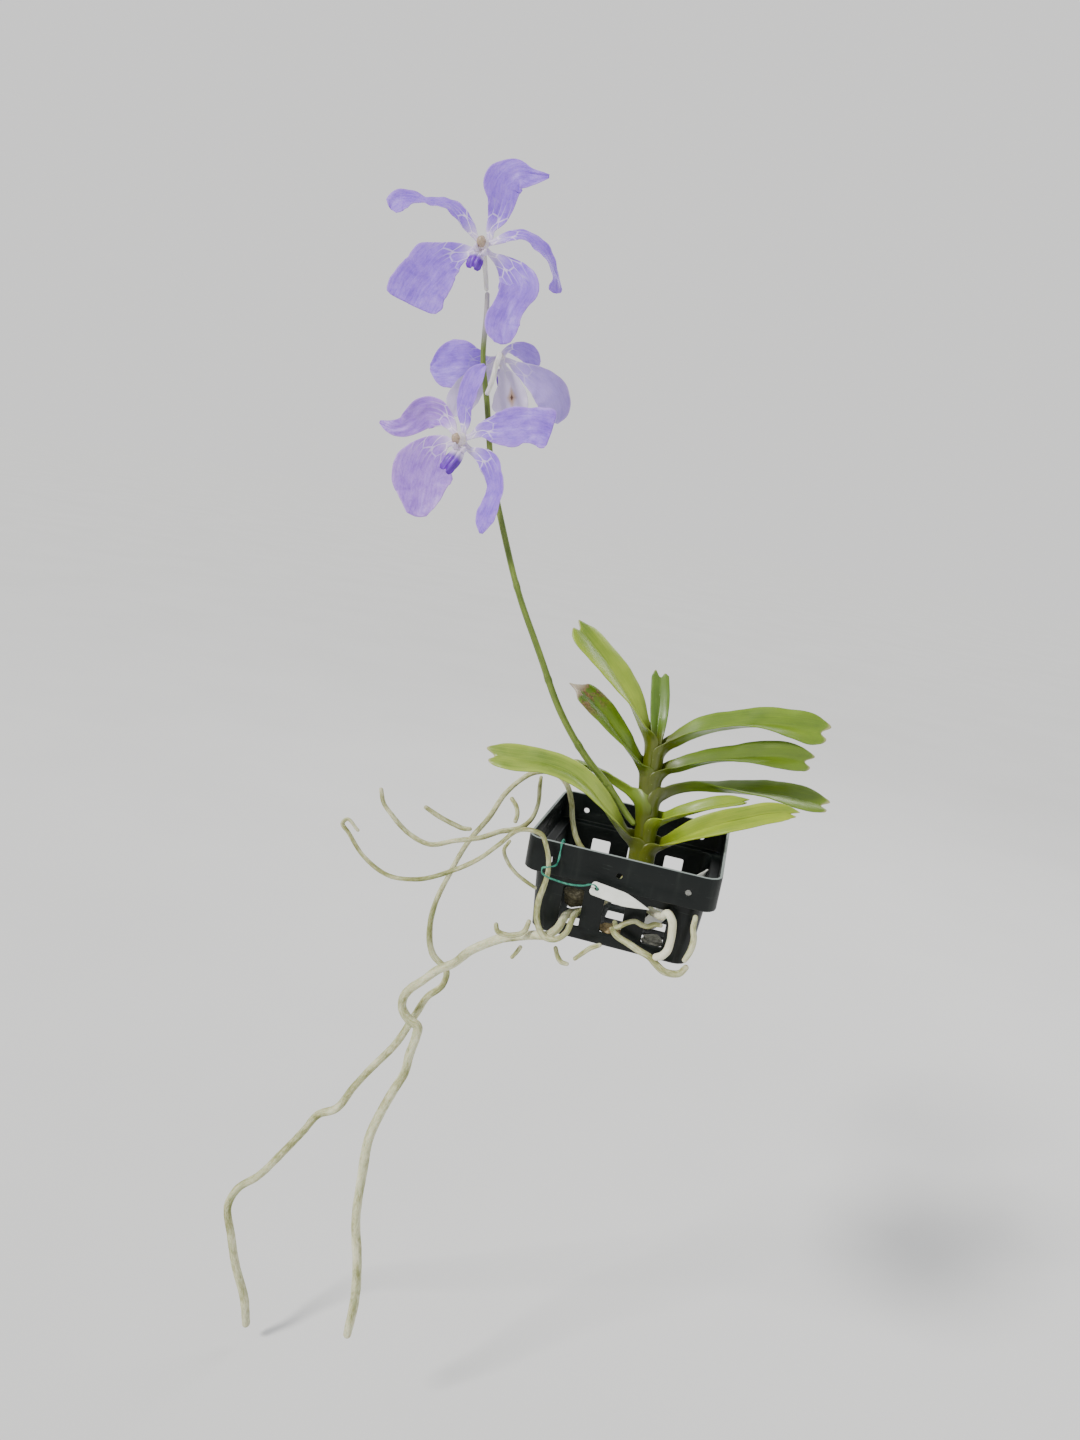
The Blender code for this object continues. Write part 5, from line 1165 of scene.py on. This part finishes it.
def build_basket():
    body = HALF - LEDGE
    foot = body - BODY_TAPER
    inside = HALF - BASKET_WALL
    body_inside = body - BASKET_WALL
    ledge = COLLAR_FOOT + BASKET_WALL
    inner = CORNER_RADIUS - BASKET_WALL
    rings = [  # half width, height, corner radius
        (foot - 0.8, FLOOR, CORNER_RADIUS - 0.8), (foot, FLOOR + 0.8, CORNER_RADIUS),
        (body, COLLAR_FOOT - 0.6, CORNER_RADIUS), (body + 0.5, COLLAR_FOOT, CORNER_RADIUS),
        (HALF - 0.6, COLLAR_FOOT, CORNER_RADIUS - 0.6), (HALF, COLLAR_FOOT + 0.6, CORNER_RADIUS),
        (HALF, RIM_HEIGHT - 0.4, CORNER_RADIUS), (HALF - 0.4, RIM_HEIGHT, CORNER_RADIUS - 0.4),
        (inside + 0.4, RIM_HEIGHT, inner + 0.4), (inside, RIM_HEIGHT - 0.4, inner),
        (inside, ledge + 0.5, inner), (inside - 0.5, ledge, inner - 0.5),
        (body_inside + 0.4, ledge, inner), (body_inside, ledge - 0.4, inner),
        (foot - BASKET_WALL, FLOOR + BASKET_WALL, inner),
    ]
    points = [(x, y, height) for half, height, radius in rings for x, y in rounded(half, half, radius)]
    sides = len(points) // len(rings)
    faces = hoops(len(rings), sides)
    faces += [tuple(range(sides)), tuple(range(len(points) - sides, len(points)))]
    basket = add_piece("basket_shell", (points, faces), basket_finish("basket_shell"),
                       ["basket"])
    middle = (SLOT_TOP + SLOT_BOTTOM) / 2
    through = 2 * BASKET_WIDTH
    slot = rounded(SLOT_WIDTH / 2, (SLOT_TOP - SLOT_BOTTOM) / 2, 1.0)
    floor_slot = rounded(FLOOR_SLOT / 2, FLOOR_SLOT / 2, 1.2)
    hole = circle(HANGER_HOLE / 2, 28)
    holes = (-HANGER_PITCH, 0, HANGER_PITCH)
    settle(basket, [
        cutter(slot, [(0, y, middle) for y in SLOTS], through, 0),
        cutter(slot, [(x, 0, middle) for x in SLOTS], through, 1),
        cutter(floor_slot, [(x, y, FLOOR) for x in SLOTS for y in SLOTS], FLOOR_SLOT + 0.01, 2),
        cutter(hole, [(0, y, 0) for y in holes], through, 0),
        cutter(hole, [(x, 0, 0) for x in holes], through, 1),
    ], 0.3, 35)


# ---- labels and bark -------------------------------------------------------------------------


def label_mesh(foot, end, face, width, bow):
    """A thin strip with rounded shoulders at its foot and a point at its end, slightly bowed."""
    foot, face = np.array(foot, float), np.array(face, float)
    length = np.linalg.norm(end - foot)
    along = (end - foot) / length
    face = unit(face - along * (along @ face))
    across = np.cross(face, along)
    shoulder = 1.8
    point_length = width * POINT_SHARE
    count, columns = 90, 21

    def place(i, s, a):
        run = length * s
        half = width / 2
        if run < shoulder:
            half = half - shoulder + math.sqrt(shoulder**2 - (shoulder - run) ** 2)
        if run > length - point_length:
            half = half * max(0.03, 1 - (1 - (length - run) / point_length) ** 1.25)
        lift = bow * (1 - (2 * run / length - 1) ** 2) - 0.25 * a * a
        return foot + along * run + across * a * half + face * lift, a * half

    mesh = sheet_mesh(surface(count, columns, place), np.linspace(0, length, count), LABEL_THICKNESS)
    return mesh, along, face, across


def build_labels():
    end = (TAG_END[0], -HALF - TAG_END[1], TAG_END[2])
    point = (TAG_POINT[0], -HALF - TAG_POINT[1], TAG_POINT[2])
    mesh, along, face, across = label_mesh(end, point, TAG_FACE, TAG_WIDTH, 0.35)
    hole = end + along * HOLE_PLACE
    tag = add_piece("label_tag", mesh, label_finish("label_tag"))
    punch = cutter(circle(TAG_HOLE / 2, 28), [(0, 0, 0)], 6, 0)
    turn = np.eye(4)
    turn[:3, :3] = np.stack([face, along, across], axis=1)
    turn[:3, 3] = hole * MM
    punch.matrix_world = Matrix(turn.tolist())
    settle(tag, [punch], 0.0, 50)
    foot = (STAKE_FOOT[0], -HALF - STAKE_FOOT[1], FLOOR + BASKET_WALL + STAKE_FOOT[2])
    top = (STAKE_POINT[0], -HALF - STAKE_POINT[1], RIM_HEIGHT + STAKE_POINT[2])
    mesh = label_mesh(foot, top, STAKE_FACE, STAKE_WIDTH, 0.4)[0]
    add_piece("label_stake", mesh, label_finish("label_stake"), sharp=50)
    inside = -HALF + BASKET_WALL + CLEARANCE + WIRE_RADIUS
    outside = -HALF - CLEARANCE - WIRE_RADIUS
    front = -HALF - WIRE_LOOP
    over = RIM_HEIGHT + CLEARANCE + WIRE_RADIUS
    x = WIRE_PLACE
    route = [
        (x, inside, RIM_HEIGHT - 8), (x, inside, RIM_HEIGHT - 2), (x, inside - 0.2, over - 0.2),
        (x - 0.2, (inside + outside) / 2, over + 0.7), (x - 0.4, outside - 0.2, over - 0.3),
        (x - 0.4, outside - 0.3, RIM_HEIGHT - 4), (x - 0.2, outside - 3, 2),
        (x - 0.6, front + 1.2, 0.6), (x - 3.5, front - 0.4, -0.4), (x - 6.6, front - 0.3, -1.8),
        (x - 6.4, front - 0.3, -4), (x - 3.5, front - 0.4, -5.6), (x + 1, front + 0.4, -6.6),
        (x + 7, front + 1, -7.2), (x + 14, front + 0.6, -6.2),
        hole + face * 3 - along * 1.6, hole + face * 1.2, hole - face * 2.4,
    ]
    # The wire is two thin strands, wound round each other more tightly near the tag.
    line = smooth([(*place, 0) for place in route], 700)
    tangents = headings(line)
    side = carried(tangents, np.array([1.0, 0.0, 0.0]))
    other = np.cross(tangents, side)
    share = np.linspace(0, 1, len(line))
    turns = 5 * share + 13 * np.clip((share - 0.55) / 0.3, 0, 1)
    strands = []
    for phase in (0, math.pi):
        angle = (2 * math.pi * turns + phase)[:, None]
        offset = 0.26 * (np.cos(angle) * side + np.sin(angle) * other)
        strands.append(tube_mesh([(*point, 0.25) for point in line[:, :3] + offset], 700, 8))
    add_piece("label_wire", joined(*strands), wire_finish("label_wire"))


BARK_LOOKS = {  # dark, light
    "bark_left": (srgb(12, 10, 7), srgb(112, 106, 82)),
    "bark_front": (srgb(74, 58, 36), srgb(182, 160, 116)),
    "bark_right": (srgb(100, 98, 88), srgb(188, 188, 176)),
    "bark_back": (srgb(26, 20, 14), srgb(78, 62, 40)),
}


def build_bark(name, place, size, swirl):
    lump = bmesh.new()
    bmesh.ops.create_icosphere(lump, subdivisions=6, radius=1.0)
    points = []
    for vertex in lump.verts:
        x, y, z = vertex.co
        swell = 1 + 0.14 * math.sin(3.1 * x + swirl) * math.sin(2.7 * y - swirl)
        swell += 0.08 * math.sin(5 * z + swirl)
        # Layers of bark step in and out, and chips are broken from them.
        wander = math.sin(9 * z + 2 * x + swirl)
        layer = 0.05 * math.copysign(abs(wander) ** 0.4, wander)
        chips = 0.05 * math.sin(11 * x + 5 * y + 3 * swirl) * math.sin(13 * y - 4 * x + swirl)
        crumbs = 0.02 * math.sin(31 * x + 23 * z) * math.sin(29 * y + 17 * x)
        reach = swell - 0.04 + layer + chips + crumbs
        points.append((x * reach * size[0] / 2, y * reach * size[1] / 2, z * reach * size[2] / 2))
    faces = [tuple(vertex.index for vertex in face.verts) for face in lump.faces]
    lump.free()
    middle = np.array([place[0] * HALF, place[1] * HALF, place[2]])
    add_piece(name, (np.array(points) + middle, faces), bark_finish(name, *BARK_LOOKS[name]))


# ---- studio ----------------------------------------------------------------------------------

SKY = (0.95, 0.96, 0.98)
SKY_POWER = 0.7
SUN_WAY = (-0.55, -0.62, 0.75)
SUN_POWER = 3.0
FLOOR_GAP = 0.012  # from the lowest root down to the floor, in metres
FLOOR_SHARE = 0.78  # of the sky's light that the floor gives back
LIGHT_TARGET = (-0.05, 0.0, 0.02)
CAMERA_PLACE = (0.039, -0.527, 0.173)


def add_light(name, kind, power, colour):
    light = bpy.data.lights.new(name, kind)
    light.energy = power
    light.color = colour
    return linked(name, light)


def add_area(name, place, size, power, colour):
    obj = add_light(name, "AREA", power, colour)
    obj.data.shape = "DISK"
    obj.data.size = size
    obj.location = place
    obj.rotation_euler = (Vector(LIGHT_TARGET) - Vector(place)).to_track_quat("-Z", "Y").to_euler()


def build_studio():
    """A wide pale floor that meets a sky of its own colour, soft lights and the camera."""
    height = CAD_BOX[0][2] - FLOOR_GAP
    sides = 96
    radii = (0.02, 1, 3, 10, 40)
    mesh = bpy.data.meshes.new("floor")
    mesh.from_pydata([(x, y, height) for radius in radii for x, y in circle(radius, sides)], [],
                     hoops(len(radii), sides) + [tuple(reversed(range(sides)))])
    shade_smooth(mesh)
    made = Finish("floor", 0.85, False)
    cloud = made.noise(made.place, 3.0, 3.0)
    made.colour = made.ramp(cloud, (0.3, srgb(227, 227, 226)), (0.7, srgb(231, 231, 230)))
    mesh.materials.append(made.set(Specular_IOR_Level=0.0).material)
    floor = linked("floor", mesh)
    key = add_light("key", "SUN", SUN_POWER, (1.0, 0.98, 0.94))
    key.data.angle = math.radians(9)
    key.rotation_euler = Vector(SUN_WAY).to_track_quat("Z", "Y").to_euler()
    add_area("fill", (1.4, -0.9, 0.45), 1.2, 3, (0.95, 0.97, 1.0))
    add_area("back", (0.5, 1.4, 1.2), 1.0, 10, (1.0, 1.0, 1.0))
    world = bpy.data.worlds.new("studio")
    world.use_nodes = True
    tree = world.node_tree
    sky = tree.nodes["Background"]
    sky.inputs["Color"].default_value = (*SKY, 1)
    sky.inputs["Strength"].default_value = SKY_POWER
    seen = tree.nodes.new("ShaderNodeBackground")
    level = SUN_POWER * Vector(SUN_WAY).normalized()[2] / math.pi
    floor_light = [FLOOR_SHARE * (SKY_POWER * part + level * sun) for part, sun in zip(SKY, key.data.color)]
    seen.inputs["Color"].default_value = (*floor_light, 1)
    path = tree.nodes.new("ShaderNodeLightPath")
    chosen = tree.nodes.new("ShaderNodeMixShader")
    for i, output in enumerate((path.outputs["Is Camera Ray"], sky.outputs[0], seen.outputs[0])):
        tree.links.new(output, chosen.inputs[i])
    tree.links.new(chosen.outputs[0], tree.nodes["World Output"].inputs["Surface"])
    bpy.context.scene.world = world
    camera = bpy.data.cameras.new("camera")
    camera.lens = 25
    camera.sensor_width = 36
    camera.clip_start = 0.01
    obj = linked("camera", camera)
    obj.matrix_world = Matrix.Translation(CAMERA_PLACE) @ plant_matrix().to_3x3().to_4x4()
    bpy.context.scene.camera = obj


build_basket()
build_stem()
build_leaves()
build_stalk()
for number, (title, parts) in enumerate(FLOWERS.items()):
    build_flower(title, parts, 2.0 + 11 * number)
build_roots()
build_labels()
for title, (place, size, swirl) in BARK.items():
    build_bark(title, place, size, swirl)
build_studio()
bpy.context.view_layer.update()
